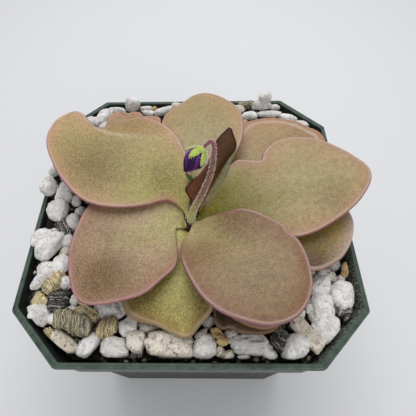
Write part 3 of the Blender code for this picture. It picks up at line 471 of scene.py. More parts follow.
def linear(code):
    """An sRGB hex colour as the linear colour that a shader takes."""
    channels = [int(code[i:i + 2], 16) / 255 for i in (1, 3, 5)]
    return (*[c / 12.92 if c <= 0.04045 else ((c + 0.055) / 1.055) ** 2.4 for c in channels], 1.0)


def smooth(value):
    """0 below 0, 1 above 1, and an even turn between."""
    value = np.clip(value, 0.0, 1.0)
    return value * value * (3.0 - 2.0 * value)


def bell(value):
    """1 at 0, falling off evenly on both sides."""
    return np.exp(-(value**2))


def feed(tree, node, sockets):
    """Gives each input, by name or number, its value, its sRGB hex colour, or the output that feeds it.
    A node stands for the first of its outputs that is in use. A mix has its factor at 0 and its colours at 6
    and 7. A map range has its value at 0, turns 1..2 into 3..4, and leaves out what stays from 0 to 1."""
    for key, value in sockets.items():
        if isinstance(value, bpy.types.Node):
            value = next(output for output in value.outputs if output.enabled)
        if isinstance(value, bpy.types.NodeSocket):
            tree.links.new(value, node.inputs[key])
        else:
            is_colour = isinstance(value, str) and value.startswith("#")
            node.inputs[key].default_value = linear(value) if is_colour else value


def add(tree, kind, sockets=None, **settings):
    """Adds a node with its settings and feeds its inputs. A shader node's kind is its type without that
    prefix. Unless the settings say otherwise, a mix is one of colours and a math node multiplies."""
    other = kind.startswith(("Geometry", "Function", "NodeGroup"))
    node = tree.nodes.new(kind if other else "ShaderNode" + kind)
    for name, value in {**USUAL_SETTINGS.get(kind, {}), **settings}.items():
        setattr(node, name, value)
    feed(tree, node, sockets or {})
    return node


def new_material(name, masks=(), **constants):
    """A material, its tree, its shader with constant values on its own sockets, the place of each point in
    metres, and each mask that it reads from the mesh."""
    made = bpy.data.materials.new(name)
    made.use_nodes = True
    tree = made.node_tree
    shader = tree.nodes["Principled BSDF"]
    feed(tree, shader, {key.replace("_", " "): value for key, value in constants.items()})
    place = add(tree, "TexCoord").outputs["Object"]
    read = [add(tree, "Attribute", attribute_name=key).outputs["Fac"] for key in masks]
    return made, tree, shader, place, *read


def shaded(tree, colour, texture, low, high, span=(0.3, 0.7)):
    """The colour times a brightness, which goes from low to high as the texture goes over its span."""
    shade = add(tree, "MapRange", {0: texture, 1: span[0], 2: span[1], 3: low, 4: high})
    return add(tree, "Mix", {0: 1.0, 6: colour, 7: shade}, blend_type="MULTIPLY")


def mottled(name, scale, detail, dark, light, **constants):
    """A material whose colour wanders between two, in spots of one part in scale of a metre."""
    made, tree, shader, place = new_material(name, **constants)
    cloud = add(tree, "TexNoise", {"Vector": place, "Scale": scale, "Detail": detail})
    feed(tree, shader, {"Base Color": add(tree, "Mix", {0: cloud, 6: dark, 7: light})})
    return made


def set_mask(mesh, key, values):
    """Keeps a value for each point on the mesh, where materials and node trees read it."""
    mesh.attributes.new(key, "FLOAT", "POINT").data.foreach_set("value", np.asarray(values, np.float32))


def plain_mesh(name, points, faces):
    """A smooth mesh from points in metres, just as they come."""
    mesh = bpy.data.meshes.new(name)
    mesh.from_pydata(points, [], faces)
    mesh.shade_smooth()
    return mesh


def mesh_from(name, points, faces, masks=None):
    """A smooth mesh from points in millimetres, doubles merged, faces outwards, with a value of each mask for
    each point."""
    points = np.asarray(points, float)
    _, first, index = np.unique(np.round(points, 4), axis=0, return_index=True, return_inverse=True)
    index = index.ravel()
    kept = []
    for face in faces:
        corners = []
        for k in face:
            if index[k] not in corners:
                corners.append(int(index[k]))
        if len(corners) > 2:
            kept.append(corners)
    mesh = plain_mesh(name, (points[first] * MM).tolist(), kept)
    for key, values in (masks or {}).items():
        set_mask(mesh, key, np.ravel(values)[first])
    shape = bmesh.new()
    shape.from_mesh(mesh)
    bmesh.ops.recalc_face_normals(shape, faces=shape.faces)
    if shape.calc_volume(signed=True) < 0:
        bmesh.ops.reverse_faces(shape, faces=shape.faces)
    shape.to_mesh(mesh)
    shape.free()
    return mesh


def shown(name, data):
    """An object of the scene with this mesh, lamp or camera."""
    made = bpy.data.objects.new(name, data)
    scene.collection.objects.link(made)
    return made


def applied(host, *helpers):
    """The host's mesh with its modifiers applied. The host and the objects that helped it are removed."""
    bpy.context.view_layer.update()
    mesh = bpy.data.meshes.new_from_object(host.evaluated_get(bpy.context.evaluated_depsgraph_get()))
    for old in (host, *helpers):
        bpy.data.objects.remove(old)
    mesh.shade_smooth()
    return mesh


def piece(name, mesh, material=None, replaces=()):
    """A finished piece on the one body, standing for the nodes that it replaces."""
    made = shown(name, mesh)
    if material is not None:
        mesh.materials.clear()
        mesh.materials.append(material)
    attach(made, "root")
    if replaces:
        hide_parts(*replaces)
    return made


def circle(radius, z, angles, middle=(0.0, 0.0)):
    """Points about an upright axis through the middle."""
    return [(middle[0] + radius * math.cos(a), middle[1] + radius * math.sin(a), z) for a in angles]


def stacked(rings):
    """Points and faces of a closed skin over rings that have the same number of points."""
    count = len(rings[0])
    points = [point for ring in rings for point in ring]
    faces = []
    for level in range(len(rings) - 1):
        for i in range(count):
            a, b = level * count + i, level * count + (i + 1) % count
            faces.append((a, b, b + count, a + count))
    faces.append(tuple(reversed(range(count))))
    faces.append(tuple(range(len(points) - count, len(points))))
    return points, faces


def join(points, faces, more_points, more_faces):
    """Adds the points and faces of one skin to those of others."""
    offset = len(points)
    points.extend(more_points)
    faces.extend([offset + k for k in face] for face in more_faces)


# The plastic pot.
def cut_square(section, z, shrink=0.0, steps=6):
    """A square section with cut corners, each of its eight bends an arc."""
    half, leg = section[0] - shrink, section[1] - shrink * (2.0 - math.sqrt(2.0))
    flat = half - leg
    corners = [(half, -flat), (half, flat), (flat, half), (-flat, half)]
    corners += [(-x, -y) for x, y in corners]
    ring = []
    for i, corner in enumerate(corners):
        here = Vector(corner)
        before = (Vector(corners[i - 1]) - here).normalized()
        after = (Vector(corners[(i + 1) % len(corners)]) - here).normalized()
        bend = max(CORNER_ROUND - shrink, 0.8)
        centre = here + (before + after).normalized() * bend / math.cos(math.pi / 8)
        start = here + before * bend * math.tan(math.pi / 8) - centre
        end = here + after * bend * math.tan(math.pi / 8) - centre
        for k in range(steps + 1):
            x, y = centre + bend * start.slerp(end, k / steps)
            ring.append((x, y, z))
    return ring


def between(low, high, share):
    """The section that lies at this share of the way from one to another."""
    return tuple(a + (b - a) * share for a, b in zip(low, high))


def pot_material():
    """Polypropylene, injection moulded: satin, with a painted highlight along the lip's rounded outer edge
    and splashes of mineral dust that dried on it. The collar is painted lighter and greyer as sheen, the body
    under the lip painted darker as shade, and the inner wall painted near black as the shade inside the pot,
    with perlite powder clinging to it towards the front right corner. The mottle is 2 mm, its grain 0.4 mm
    and the
    dust 0.5 to 0.7 mm: real dust is finer, and is drawn coarser so that it shows."""
    made, tree, shader, place, inside, edge, collar, above = new_material(
        "moulded_polypropylene", ("inside", "edge", "collar", "above"), Metallic=0.0, IOR=1.49
    )
    mottle = add(tree, "TexNoise", {"Vector": place, "Scale": 420, "Detail": 5, "Roughness": 0.7})
    grain = add(tree, "TexNoise", {"Vector": place, "Scale": 2400, "Detail": 2})
    cloud = add(tree, "MapRange", {0: mottle, 1: 0.32, 2: 0.68})
    tone = add(tree, "Mix", {0: cloud, 6: "#1E2F26", 7: "#42574B"})
    # Painted sheen: the collar is lighter and greyer than the rest of the pot.
    collar_painted_sheen = add(tree, "Mix", {0: cloud, 6: "#3E4642", 7: "#6A736D"})
    # Painted shade: the body under the lip is darker.
    body = add(tree, "Mix", {0: cloud, 6: "#1C231F", 7: "#323A35"})
    raised = add(tree, "Mix", {0: above, 6: body, 7: tone})
    sided = add(tree, "Mix", {0: collar, 6: raised, 7: collar_painted_sheen})
    # Painted highlight: the lip's rounded outer edge is lighter, unevenly over the mottle.
    wear_and_painted_light = add(tree, "Math", {0: edge, 1: cloud})
    with_painted_edge_highlight = add(tree, "Mix", {0: wear_and_painted_light, 6: sided, 7: "#5A6B5F"})
    axes = add(tree, "SeparateXYZ", {0: place})
    corner = add(tree, "Math", {0: axes, 1: axes.outputs[1]}, operation="SUBTRACT")
    near = add(tree, "MapRange", {0: corner, 1: 0.040, 2: 0.066})
    powder = add(tree, "TexNoise", {"Vector": place, "Scale": 1900, "Detail": 3, "Roughness": 0.8})
    clinging = add(tree, "MapRange", {0: powder, 1: 0.49, 2: 0.60, 4: 0.9})
    veil = add(tree, "Math", {0: near, 1: clinging})
    # Painted shade: the inner wall is near black, as the shade inside the pot, under the clinging perlite
    # powder.
    wall = add(tree, "Mix", {0: veil, 6: "#131C16", 7: "#ABB3A4"})
    lined = add(tree, "Mix", {0: inside, 6: with_painted_edge_highlight, 7: wall})
    specks = add(tree, "TexVoronoi", {"Vector": place, "Scale": 1500})
    speck = add(tree, "MapRange", {0: specks, 1: 0.34, 2: 0.18, 4: 0.75})
    splash = add(tree, "TexNoise", {"Vector": place, "Scale": 110, "Detail": 3})
    where = add(tree, "MapRange", {0: splash, 1: 0.64, 2: 0.80})
    specked = add(tree, "Math", {0: speck, 1: where})
    colour = add(tree, "Mix", {0: specked, 6: lined, 7: "#A2A698"})
    gloss = add(tree, "MapRange", {0: mottle, 3: 0.48, 4: 0.70})
    relief = add(tree, "Bump", {"Height": grain, "Strength": 0.25, "Distance": 0.00008})
    feed(tree, shader, {"Base Color": colour, "Roughness": gloss, "Normal": relief})
    return made


def make_pot():
    """Base, tapered body, collar and lip, turned in over the lip and down the inside to the floor."""
    floor_section = between(BASE, BODY_TOP, FLOOR / COLLAR_Z)
    neck = between(BASE, BODY_TOP, 0.97)
    profile = [
        ("body", BASE, 0.0, 1.6),
        ("body", BASE, 0.0, 0.5),
        ("body", BASE, 0.15, 0.15),
        ("body", BASE, 0.5, 0.0),
        ("body", neck, COLLAR_Z * 0.97, 0.0),
        ("body", BODY_TOP, COLLAR_Z - 0.15, 0.0),
        ("body", BODY_TOP, COLLAR_Z, -0.15),
        ("collar", COLLAR_FOOT, COLLAR_Z, 0.4),
        ("collar", COLLAR_FOOT, COLLAR_Z + 0.12, 0.1),
        ("collar", COLLAR_FOOT, COLLAR_Z + 0.4, 0.0),
        ("collar", COLLAR_TOP, LIP_Z - 0.4, 0.0),
        ("collar", COLLAR_TOP, LIP_Z - 0.2, -0.04),
        ("collar", LIP, LIP_Z, 0.06),
        ("collar", LIP, LIP_Z + 0.2, 0.0),
        ("collar", LIP, POT_HEIGHT - 0.45, 0.0),
        # The edge rows carry the painted highlight of the lip's rounded outer edge.
        ("edge", LIP, POT_HEIGHT - 0.18, 0.1),
        ("edge", LIP, POT_HEIGHT - 0.04, 0.3),
        ("lip", LIP, POT_HEIGHT, 0.55),
        ("lip", LIP_MOUTH, POT_HEIGHT, -0.3),
        ("lip", LIP_MOUTH, POT_HEIGHT - 0.08, -0.06),
        ("inside", LIP_MOUTH, POT_HEIGHT - 0.3, 0.05),
        ("inside", COLLAR_FOOT, COLLAR_Z + WALL + 0.3, WALL),
        ("inside", BODY_TOP, COLLAR_Z + WALL, WALL),
        ("inside", floor_section, FLOOR + 0.6, WALL),
        ("inside", floor_section, FLOOR, WALL + 0.6),
    ]
    rings = [cut_square(section, z, shrink) for _, section, z, shrink in profile]
    parts = np.repeat([row[0] for row in profile], len(rings[0]))
    masks = {key: parts == key for key in ("inside", "edge", "collar")}
    # above is all but the body, which the material paints darker as shade under the lip.
    masks["above"] = parts != "body"
    mesh = mesh_from("pot", *stacked(rings), masks)
    shape = bmesh.new()
    shape.from_mesh(mesh)
    bmesh.ops.dissolve_degenerate(shape, dist=1e-7, edges=shape.edges)
    shape.to_mesh(mesh)
    shape.free()
    body = shown("pot_blank", mesh)
    cutters = []
    for i in range(DRAIN_HOLES):
        angle = 2 * math.pi * i / DRAIN_HOLES
        reach = DRAIN_RING * (DRAIN_STAGGER if i % 2 else 1.0)
        middle = (reach * math.cos(angle), reach * math.sin(angle))
        around = np.linspace(0, 2 * math.pi, 32, endpoint=False)
        plug = stacked([circle(DRAIN_RADIUS, z, around, middle) for z in (-2.0, FLOOR + 2.0)])
        cutters.append(shown("drain_hole", mesh_from("drain_hole", *plug)))
        cut = body.modifiers.new("drain_hole", "BOOLEAN")
        cut.operation = "DIFFERENCE"
        cut.object = cutters[-1]
    final = applied(body, *cutters)
    final.set_sharp_from_angle(angle=math.radians(50))
    piece("pot_shell", final, pot_material(), ["pot"])


# Curves and sheets that the leaves share.
def cubic(u, start, leave, end, arrive):
    """The place at the share u of a bend from start to end that leaves and arrives with the given slopes."""
    first = (2 * u**3 - 3 * u**2 + 1) * start + (u**3 - 2 * u**2 + u) * leave
    return first + (3 * u**2 - 2 * u**3) * end + (u**3 - u**2) * arrive


def hermite(knots, values, at):
    """A smooth curve through values at knots, read at each distance in at."""
    knots, values = np.asarray(knots, float), np.asarray(values, float)
    slopes = np.diff(values) / np.diff(knots)
    turns = np.concatenate([slopes[:1], (slopes[:-1] + slopes[1:]) / 2, slopes[-1:]])
    i = np.clip(np.searchsorted(knots, at, side="right") - 1, 0, len(knots) - 2)
    step = knots[i + 1] - knots[i]
    u = np.clip((at - knots[i]) / step, -0.3, 1.4)
    return cubic(u, values[i], step * turns[i], values[i + 1], step * turns[i + 1])


def rounded(points, steps=12):
    """A curve through the points whose bends follow the distances between them."""
    p = np.asarray(points, float)
    p = np.vstack([2 * p[0] - p[1], p, 2 * p[-1] - p[-2]])
    found = []
    for p0, p1, p2, p3 in zip(p, p[1:], p[2:], p[3:]):
        d0, d1, d2 = (math.sqrt(np.linalg.norm(b - a)) for a, b in ((p0, p1), (p1, p2), (p2, p3)))
        leave = d1 * ((p1 - p0) / d0 - (p2 - p0) / (d0 + d1) + (p2 - p1) / d1)
        arrive = d1 * ((p2 - p1) / d1 - (p3 - p1) / (d1 + d2) + (p3 - p2) / d2)
        found += [cubic(u, p1, leave, p2, arrive) for u in np.arange(steps) / steps]
    found.append(p[-2])
    return np.array(found)


def spread(curve, shares):
    """Points of the curve at the given shares of its length."""
    lengths = np.concatenate([[0], np.cumsum(np.linalg.norm(np.diff(curve, axis=0), axis=1))])
    at = np.asarray(shares) * lengths[-1]
    return np.stack([np.interp(at, lengths, column) for column in curve.T], axis=1)


def leaf_sides(leaf):
    """The left and right margins of a leaf in plan, each from the stem to the tip."""
    angle = math.radians(leaf["heading"])
    ahead = np.array([math.cos(angle), math.sin(angle)])
    aside = np.array([-ahead[1], ahead[0]])
    start_left = LEAF_START * ahead + FOOT_WIDTH * leaf["base"] * aside
    start_right = LEAF_START * ahead - FOOT_WIDTH * leaf["base"] * aside
    loop = [start_left, *leaf["left"][::-1], leaf["tip"], *leaf["right"][::-1], start_right]
    outline = rounded(loop)
    tip = np.linalg.norm(outline - np.array(leaf["tip"]), axis=1).argmin()
    return outline[: tip + 1], outline[tip:][::-1]


def leaf_grid(leaf, rows, columns, rim=(0.0,)):
    """Points in plan by row and column, finer towards the margins, with their shares along and across."""
    along = np.linspace(0, 1, rows)
    shares = 0.6 * np.sin(along * math.pi / 2) + 0.4 * along
    left, right = (spread(side, shares) for side in leaf_sides(leaf))
    width = np.maximum(np.linalg.norm(right - left, axis=1), 1e-6)[:, None]
    edge = np.minimum(np.array(rim)[None, :] / width, np.linspace(0, 0.2, len(rim))[None, :])
    inner = np.linspace(0, 1, columns - 2 * len(rim) + 2)[None, 1:-1]
    middle = edge[:, -1:] + (1 - 2 * edge[:, -1:]) * inner
    share = np.concatenate([edge, middle, 1 - edge[:, ::-1]], axis=1)
    plan = left[:, None] * (1 - share[..., None]) + right[:, None] * share[..., None]
    return plan, np.repeat(along[:, None], share.shape[1], axis=1), 2 * share - 1


def fold_line(x):
    """How far behind the stem the left leaf's fold lies at each x."""
    return FOLD_Y + FOLD_CURVE * np.maximum(FOLD_CURL - x, 0) ** 2


def from_stem(leaf, plan):
    """How far each point of the plan is from the stem, and how far to the left of the leaf's heading."""
    x, y = plan[..., 0], plan[..., 1]
    angle = math.radians(leaf["heading"])
    return np.hypot(x, y), y * math.cos(angle) - x * math.sin(angle)


def leaf_height(name, plan, along, across):
    """The height of a leaf's upper face over each point of its plan."""
    leaf = LEAVES[name]
    x, y = plan[..., 0], plan[..., 1]
    reach, aside = from_stem(leaf, plan)
    z = hermite(REACH, leaf["z"], reach)
    z = z + leaf["cup"] * smooth(reach / 20) * across**2 * (1 - along**8)
    z = z + leaf["tilt"] * aside
    margin = 1 - (1 - np.abs(across) ** 6) * (1 - along**10)
    z = z + leaf["edge"] * margin * smooth(reach / 10)
    if name == "leaf_left":
        start, length, more = FOLD_STEEP
        steep = FOLD_DEEPENS * np.maximum(FOLD_FROM - x, 0) + more * smooth((start - x) / length)
        behind = y - fold_line(x)
        past = (behind + np.sqrt(behind**2 + FOLD_BEND**2)) / 2
        z = z - steep * smooth((x - FOLD_END) / FOLD_FADE) * past
    return z


def distance_to(line, plan):
    """The distance of each point of the plan from a line of points."""
    found = np.full(plan.shape[:2], 1e9)
    for a, b in zip(line, line[1:]):
        d = b - a
        u = np.clip(((plan - a) @ d) / max(d @ d, 1e-12), 0, 1)
        found = np.minimum(found, np.linalg.norm(plan - a - u[..., None] * d, axis=-1))
    return found


def waves(plan, seed, size):
    """A slow roll over the plan, mostly between -1 and 1, of six sine waves of about the given length."""
    draw = random.Random(seed)
    total = np.zeros(plan.shape[:2])
    for _ in range(6):
        angle, phase = draw.uniform(0, 2 * math.pi), draw.uniform(0, 2 * math.pi)
        length = size * draw.uniform(0.7, 1.6)
        along = plan[..., 0] * math.cos(angle) + plan[..., 1] * math.sin(angle)
        total += np.sin(along * 2 * math.pi / length + phase)
    return total / 6 ** 0.5 / 1.4


def sheet(top, bottom):
    """Points and faces of a closed solid between two grids that may meet at their margins."""
    rows, columns = top.shape[:2]
    size = rows * columns
    points = np.concatenate([top.reshape(-1, 3), bottom.reshape(-1, 3)])
    faces = []
    for i in range(rows - 1):
        for j in range(columns - 1):
            a = i * columns + j
            b, c, d = a + 1, a + columns + 1, a + columns
            faces += [(a, b, c, d), (size + d, size + c, size + b, size + a)]
    border = list(range(columns))
    border += [i * columns + columns - 1 for i in range(1, rows)]
    border += [(rows - 1) * columns + j for j in range(columns - 2, -1, -1)]
    border += [i * columns for i in range(rows - 2, 0, -1)]
    for a, b in zip(border, border[1:] + border[:1]):
        faces.append((b, a, size + a, size + b))
    return points, faces


def on_both_faces(masks):
    """The same values for a sheet's upper face and its lower one."""
    return {key: np.concatenate([value.ravel()] * 2) for key, value in masks.items()}


def leaf_material(name, look):
    """Living leaf: fleshy and satin, so light goes a millimetre into it, with gland heads all over. They are
    0.1 mm, too fine to show at this distance, so the speckle that they give is drawn at 0.6 mm."""
    made, tree, shader, place, green, outer, margin, patch, under, ridge, free = new_material(
        name, ("green", "outer", "margin", "patch", "under", "ridge", "free"), Metallic=0.0, IOR=1.42,
        Subsurface_Weight=0.08, Subsurface_Scale=0.001, Subsurface_Radius=(1.0, 0.7, 0.3),
    )
    drift = add(tree, "TexNoise", {"Vector": place, "Scale": 170, "Detail": 5, "Roughness": 0.6})
    near = add(tree, "TexNoise", {"Vector": place, "Scale": 800, "Detail": 3, "Roughness": 0.6})
    gland = add(tree, "TexVoronoi", {"Vector": place, "Scale": 1750, "Randomness": 0.8})

    wander = add(tree, "MapRange", {0: drift, 1: 0.3, 2: 0.7, 3: -0.2, 4: 0.2})
    greener = add(tree, "Math", {0: green, 1: wander}, operation="ADD", use_clamp=True)
    blade = add(tree, "Mix", {0: greener, 6: look["blade"], 7: look["green"]})
    tanned = add(tree, "Math", {0: outer, 1: wander}, operation="ADD", use_clamp=True)
    outward = add(tree, "Mix", {0: tanned, 6: blade, 7: look["outer"]})
    deeper = add(tree, "Mix", {0: patch, 6: outward, 7: look["dark"]})

    # Each gland is a light point in a darker mesh, and both are stronger where the leaf is dark.
    speckle = add(tree, "MapRange", {0: gland, 1: 0.10, 2: 0.62, 3: 1.0, 4: -1.0})
    busy = add(tree, "MapRange", {0: patch, 3: look["speck"], 4: 0.38})
    swing = add(tree, "Math", {0: speckle, 1: busy})
    shade = add(tree, "MapRange", {0: near, 1: 0.3, 2: 0.7, 3: 0.88, 4: 1.12})
    tone = add(tree, "Math", {0: swing, 1: shade}, operation="ADD")
    toned = add(tree, "Mix", {0: 1.0, 6: deeper, 7: tone}, blend_type="MULTIPLY")

    # The blush and the rim follow the margin, and the rim also turns under it.
    warm = add(tree, "Mix", {0: 0.5, 6: look["outer"], 7: look["rim"]})
    near_rim = add(
        tree, "MapRange", {0: margin, 1: look["blush"] + 0.6, 2: 0.3, 4: 0.75},
        interpolation_type="SMOOTHSTEP",
    )
    uneven = add(tree, "MapRange", {0: drift, 1: 0.35, 2: 0.6, 3: 0.5})
    even = add(tree, "Math", {0: near_rim, 1: uneven})
    blush = add(tree, "Math", {0: even, 1: free})
    blushed = add(tree, "Mix", {0: blush, 6: toned, 7: warm})
    thin = add(tree, "MapRange", {0: margin, 1: 0.42, 2: 0.12}, interpolation_type="SMOOTHSTEP")
    line = add(tree, "Math", {0: thin, 1: uneven})
    kept = add(tree, "Math", {0: line, 1: free})
    rimmed = add(tree, "Mix", {0: kept, 6: blushed, 7: look["rim"]})
    # Painted highlight along the rounded margin and along the left leaf's fold.
    crest = add(tree, "Mix", {0: ridge, 6: rimmed, 7: "#D6C6B8"})
    below = add(tree, "Mix", {0: drift, 6: "#7A5540", 7: "#8A7650"})
    colour = add(tree, "Mix", {0: under, 6: crest, 7: below})

    gloss = add(tree, "MapRange", {0: near, 1: 0.3, 2: 0.7, 3: 0.50, 4: 0.36})
    height = add(tree, "Math", {0: swing, 1: near}, operation="ADD")
    relief = add(tree, "Bump", {"Height": height, "Strength": 0.5, "Distance": 0.00025})
    feed(tree, shader, {"Base Color": colour, "Roughness": gloss, "Normal": relief})
    return made


def leaf_faces(name, seed, grid, margin):
    """The upper and the lower face of a leaf's blade, whose points lie this far from its margin."""
    leaf = LEAVES[name]
    plan, along, across = grid
    reach, aside = from_stem(leaf, plan)
    # Over its even form the blade rolls, puckers at the margin and sinks a little along the midrib.
    height = leaf_height(name, plan, along, across)
    free = smooth((reach - 5) / 12)
    height = height + leaf["wave"] * free * waves(plan, seed, 16.0)
    height = height + leaf["pucker"] * free * np.exp(-margin / 2.5) * waves(plan, seed + 50, 6.0)
    height = height - 0.3 * bell(aside / 1.6) * (1 - smooth(reach / 26)) * smooth((reach - 2) / 4)
    # The feet of the upper leaves clasp the top of the stem.
    if leaf["z"][0] > LOW_FOOT:
        clasp = 1 - smooth((reach - LEAF_START) / (FOOT_REACH - LEAF_START))
        height = height + clasp * (CROWN_TOP + FOOT_RISE + 0.12 * (leaf["z"][0] - LOW_FOOT) - height)
    # The margin is round: the upper face drops to it in a short arc, the lower one rises in a long one.
    thick = leaf["thick"]
    bend = 0.5 * thick
    drop = bend - np.sqrt(np.maximum(bend**2 - (bend - np.minimum(margin, bend)) ** 2, 0))
    rise = 1 - np.sqrt(np.maximum(1 - (1 - np.minimum(margin / (1.4 * thick), 1)) ** 2, 0))
    low = height - thick + (thick - bend) * rise
    place = plan + np.array(CROWN)
    return [np.concatenate([place, level[..., None]], axis=2) for level in (height - drop, low)]


def leaf_masks(name, plan, margin):
    """Masks for a leaf's colours, between 0 and 1, and the distance from its margin in millimetres."""
    look = LEAF_LOOKS[name]
    x, y = plan[..., 0], plan[..., 1]
    reach, aside = from_stem(LEAVES[name], plan)
    green = 1 - smooth((reach - 0.35 * look["base"]) / look["base"])
    if look["streak"]:
        run = bell(aside / 3.5) * (1 - smooth((reach - 0.5 * look["streak"]) / look["streak"]))
        green = np.maximum(green, run)
    outer = np.exp(-(margin / look["band"]) ** 1.5) * smooth((reach - look["tan_from"]) / 10)
    patch = np.zeros_like(reach)
    for (middle_x, middle_y), radius, strength in look["patches"]:
        away = np.hypot(x - middle_x, y - middle_y) / radius
        patch = np.maximum(patch, strength * bell(away))
    # The painted highlight runs along the rounded margin, crest in from it.
    inset, width = look["crest"]
    ridge = look["shine"] * bell((margin - inset) / width) * smooth((reach - 8) / 8)
    # The fold of the left leaf gets a painted highlight, and the flap behind it painted shade,
    # darker and browner.
    if name == "leaf_left":
        behind = y - fold_line(x)
        fold = smooth((x + 30) / 3) * smooth((-10 - x) / 14) * bell((behind + 0.3) / 0.5)
        ridge = np.maximum(ridge, 0.6 * fold)
        # Painted shade: the flap is darker and browner.
        flap = smooth(behind) * smooth((x + 31) / 4) * smooth((-4 - x) / 8)
        patch = np.maximum(patch, 0.3 * flap)
        outer = np.maximum(outer, 0.7 * flap)
    free = smooth((reach - 3) / 8)
    masks = on_both_faces(
        {"green": green, "outer": outer, "margin": margin, "patch": patch, "ridge": ridge, "free": free}
    )
    masks["under"] = np.concatenate([np.zeros(margin.size), smooth((margin.ravel() - 0.5) / 0.6)])
    return masks


def make_leaves():
    """Each leaf as a fleshy blade with a rounded margin, its colours carried as masks on its points."""
    made = {}
    for seed, (name, leaf) in enumerate(LEAVES.items()):
        grid = leaf_grid(leaf, LEAF_ROWS, LEAF_COLUMNS, RIM_STEPS)
        left, right = leaf_sides(leaf)
        margin = distance_to(np.concatenate([left, right[::-1]]), grid[0])
        margin[:, 0] = margin[:, -1] = margin[-1] = 0.0
        faces = leaf_faces(name, seed, grid, margin)
        mesh = mesh_from(name + "_blade", *sheet(*faces), leaf_masks(name, grid[0], margin))
        made[name] = piece(name + "_blade", mesh, leaf_material(name, LEAF_LOOKS[name]), [name])
    return made


# The middle of the rosette.
def make_young_leaf():
    """A curled sheet that bulges to the front, with its right margin rolled out into a narrow strip."""
    shares = np.linspace(0, 1, 60)
    left, right = (spread(rounded(side), shares) for side in (YOUNG_LEFT, YOUNG_RIGHT))
    width = np.linalg.norm(right - left, axis=1)
    from_tip = np.linalg.norm(left - left[-1], axis=1)
    middle = np.sin(math.pi * (0.12 + 0.8 * shares))[:, None]
    front = np.array([0.25, -0.75, 0.6])
    strip = 0.12 + 0.88 * smooth((0.85 - shares) / 0.4) * smooth((shares - 0.02) / 0.45)
    columns, roll, margin, line, pale = [], [], [], [], []
    for share in np.concatenate([[0.0, 0.02, 0.05], np.linspace(0.09, 0.91, 16), [0.95, 0.98, 1.0]]):
        bulge = YOUNG_BULGE * math.sin(math.pi * share) * middle * front
        columns.append(left * (1 - share) + right * share + bulge)
        roll.append(0 * shares)
        margin.append(np.minimum(share * width, (1 - share) * width + strip * 2))
        # A dark line follows both margins and the tip, but for a pale stretch in the middle of the left one.
        upper = bell((1 - share) * width / YOUNG_RIM) * smooth((shares - 0.5) / 0.15)
        ends = np.maximum(smooth((0.45 - shares) / 0.1), smooth((shares - 0.7) / 0.1))
        corner = bell(share * width / YOUNG_RIM) * ends
        line.append(np.maximum(np.maximum(upper, corner), bell(from_tip / 0.9)))
        middle_part = smooth((shares - 0.38) / 0.08) * smooth((0.8 - shares) / 0.1)
        pale.append(bell(share * width / 0.3) * middle_part)
    for share in np.linspace(0.12, 1, 8):
        columns.append(right + share * strip[:, None] * np.array(YOUNG_STRIP))
        roll.append(0 * shares + smooth(share * 3))
        margin.append((1 - share) * strip * 2)
        line.append(0 * shares)
        pale.append(0 * shares)
    face = np.stack(columns, axis=1) + np.array([*CROWN, 0])
    roll, margin, line, pale = (np.stack(value, axis=1) for value in (roll, margin, line, pale))
    margin = np.minimum(margin, (from_tip + 0.02)[:, None] * 0.7)
    thick = YOUNG_THICKNESS * np.sqrt(1 - (1 - np.minimum(margin / 0.6, 1)) ** 2 * 0.98)
    back = face + thick[..., None] * np.array([-0.15, 0.75, -0.62])
    length = np.repeat(shares[:, None], face.shape[1], axis=1)
    masks = on_both_faces({"roll": roll, "line": line, "pale": pale, "length": length})
    mesh = mesh_from("young_leaf_blade", *sheet(face, back), masks)
    return piece("young_leaf_blade", mesh, young_leaf_material(), ["young_leaf"])


def young_leaf_material():
    """The underside of a leaf that is still furled: red-brown and silky, its rolled margin grey-green."""
    made, tree, shader, place, roll, line, pale, length = new_material(
        "furled_leaf", ("roll", "line", "pale", "length"), Metallic=0.0, Roughness=0.6, IOR=1.35
    )
    grain = add(tree, "TexNoise", {"Vector": place, "Scale": 1300, "Detail": 3, "Roughness": 0.6})
    streaks = add(tree, "TexNoise", {"Vector": place, "Scale": 380, "Detail": 3})
    brown = add(tree, "Mix", {0: streaks, 6: "#361C0A", 7: "#5E3A1A"})
    lower = add(tree, "MapRange", {0: length, 1: 0.1, 2: 0.6, 3: 1.0, 4: 0.0})
    warm = add(tree, "Mix", {0: lower, 6: brown, 7: "#7A4A32"})
    rolled = add(tree, "Mix", {0: roll, 6: warm, 7: "#858562"})
    edged = add(tree, "Mix", {0: pale, 6: rolled, 7: "#C4A796"})
    rim = add(tree, "Mix", {0: line, 6: edged, 7: "#30060E"})
    colour = shaded(tree, rim, grain, 0.70, 1.28)
    relief = add(tree, "Bump", {"Height": grain, "Strength": 0.3, "Distance": 0.0001})
    feed(tree, shader, {"Base Color": colour, "Normal": relief})
    return made


def make_leaf_bud():
    """A short narrow blade that stands up beside the stem, its margins rolled in."""
    shares = np.linspace(0, 1, 28)
    spine = spread(rounded(LEAF_BUD), shares) + np.array([*CROWN, 0])
    width = LEAF_BUD_WIDTH * np.sqrt(1 - shares**4)[:, None]
    side = np.array([0.97, 0.2, 0.1])
    up = np.array([0.0, -0.6, 0.8])
    across = np.linspace(-1, 1, 15)
    face = np.stack([spine + width * share * side + 0.5 * width * share**2 * up for share in across], axis=1)
    thick = 0.8 * np.sqrt(np.maximum(1 - across**2, 0))[None, :] * np.minimum(width, 1)
    back = face - thick[..., None] * up
    # A new leaf: thin, green and waxy, so it is smoother and shines more evenly than the old ones.
    made = mottled("new_leaf", 900, 3, "#465024", "#8A9854", Metallic=0.0, Roughness=0.45, IOR=1.4)
    mesh = mesh_from("new_leaf_blade", *sheet(face, back))
    return piece("new_leaf_blade", mesh, made, ["leaf_bud"])


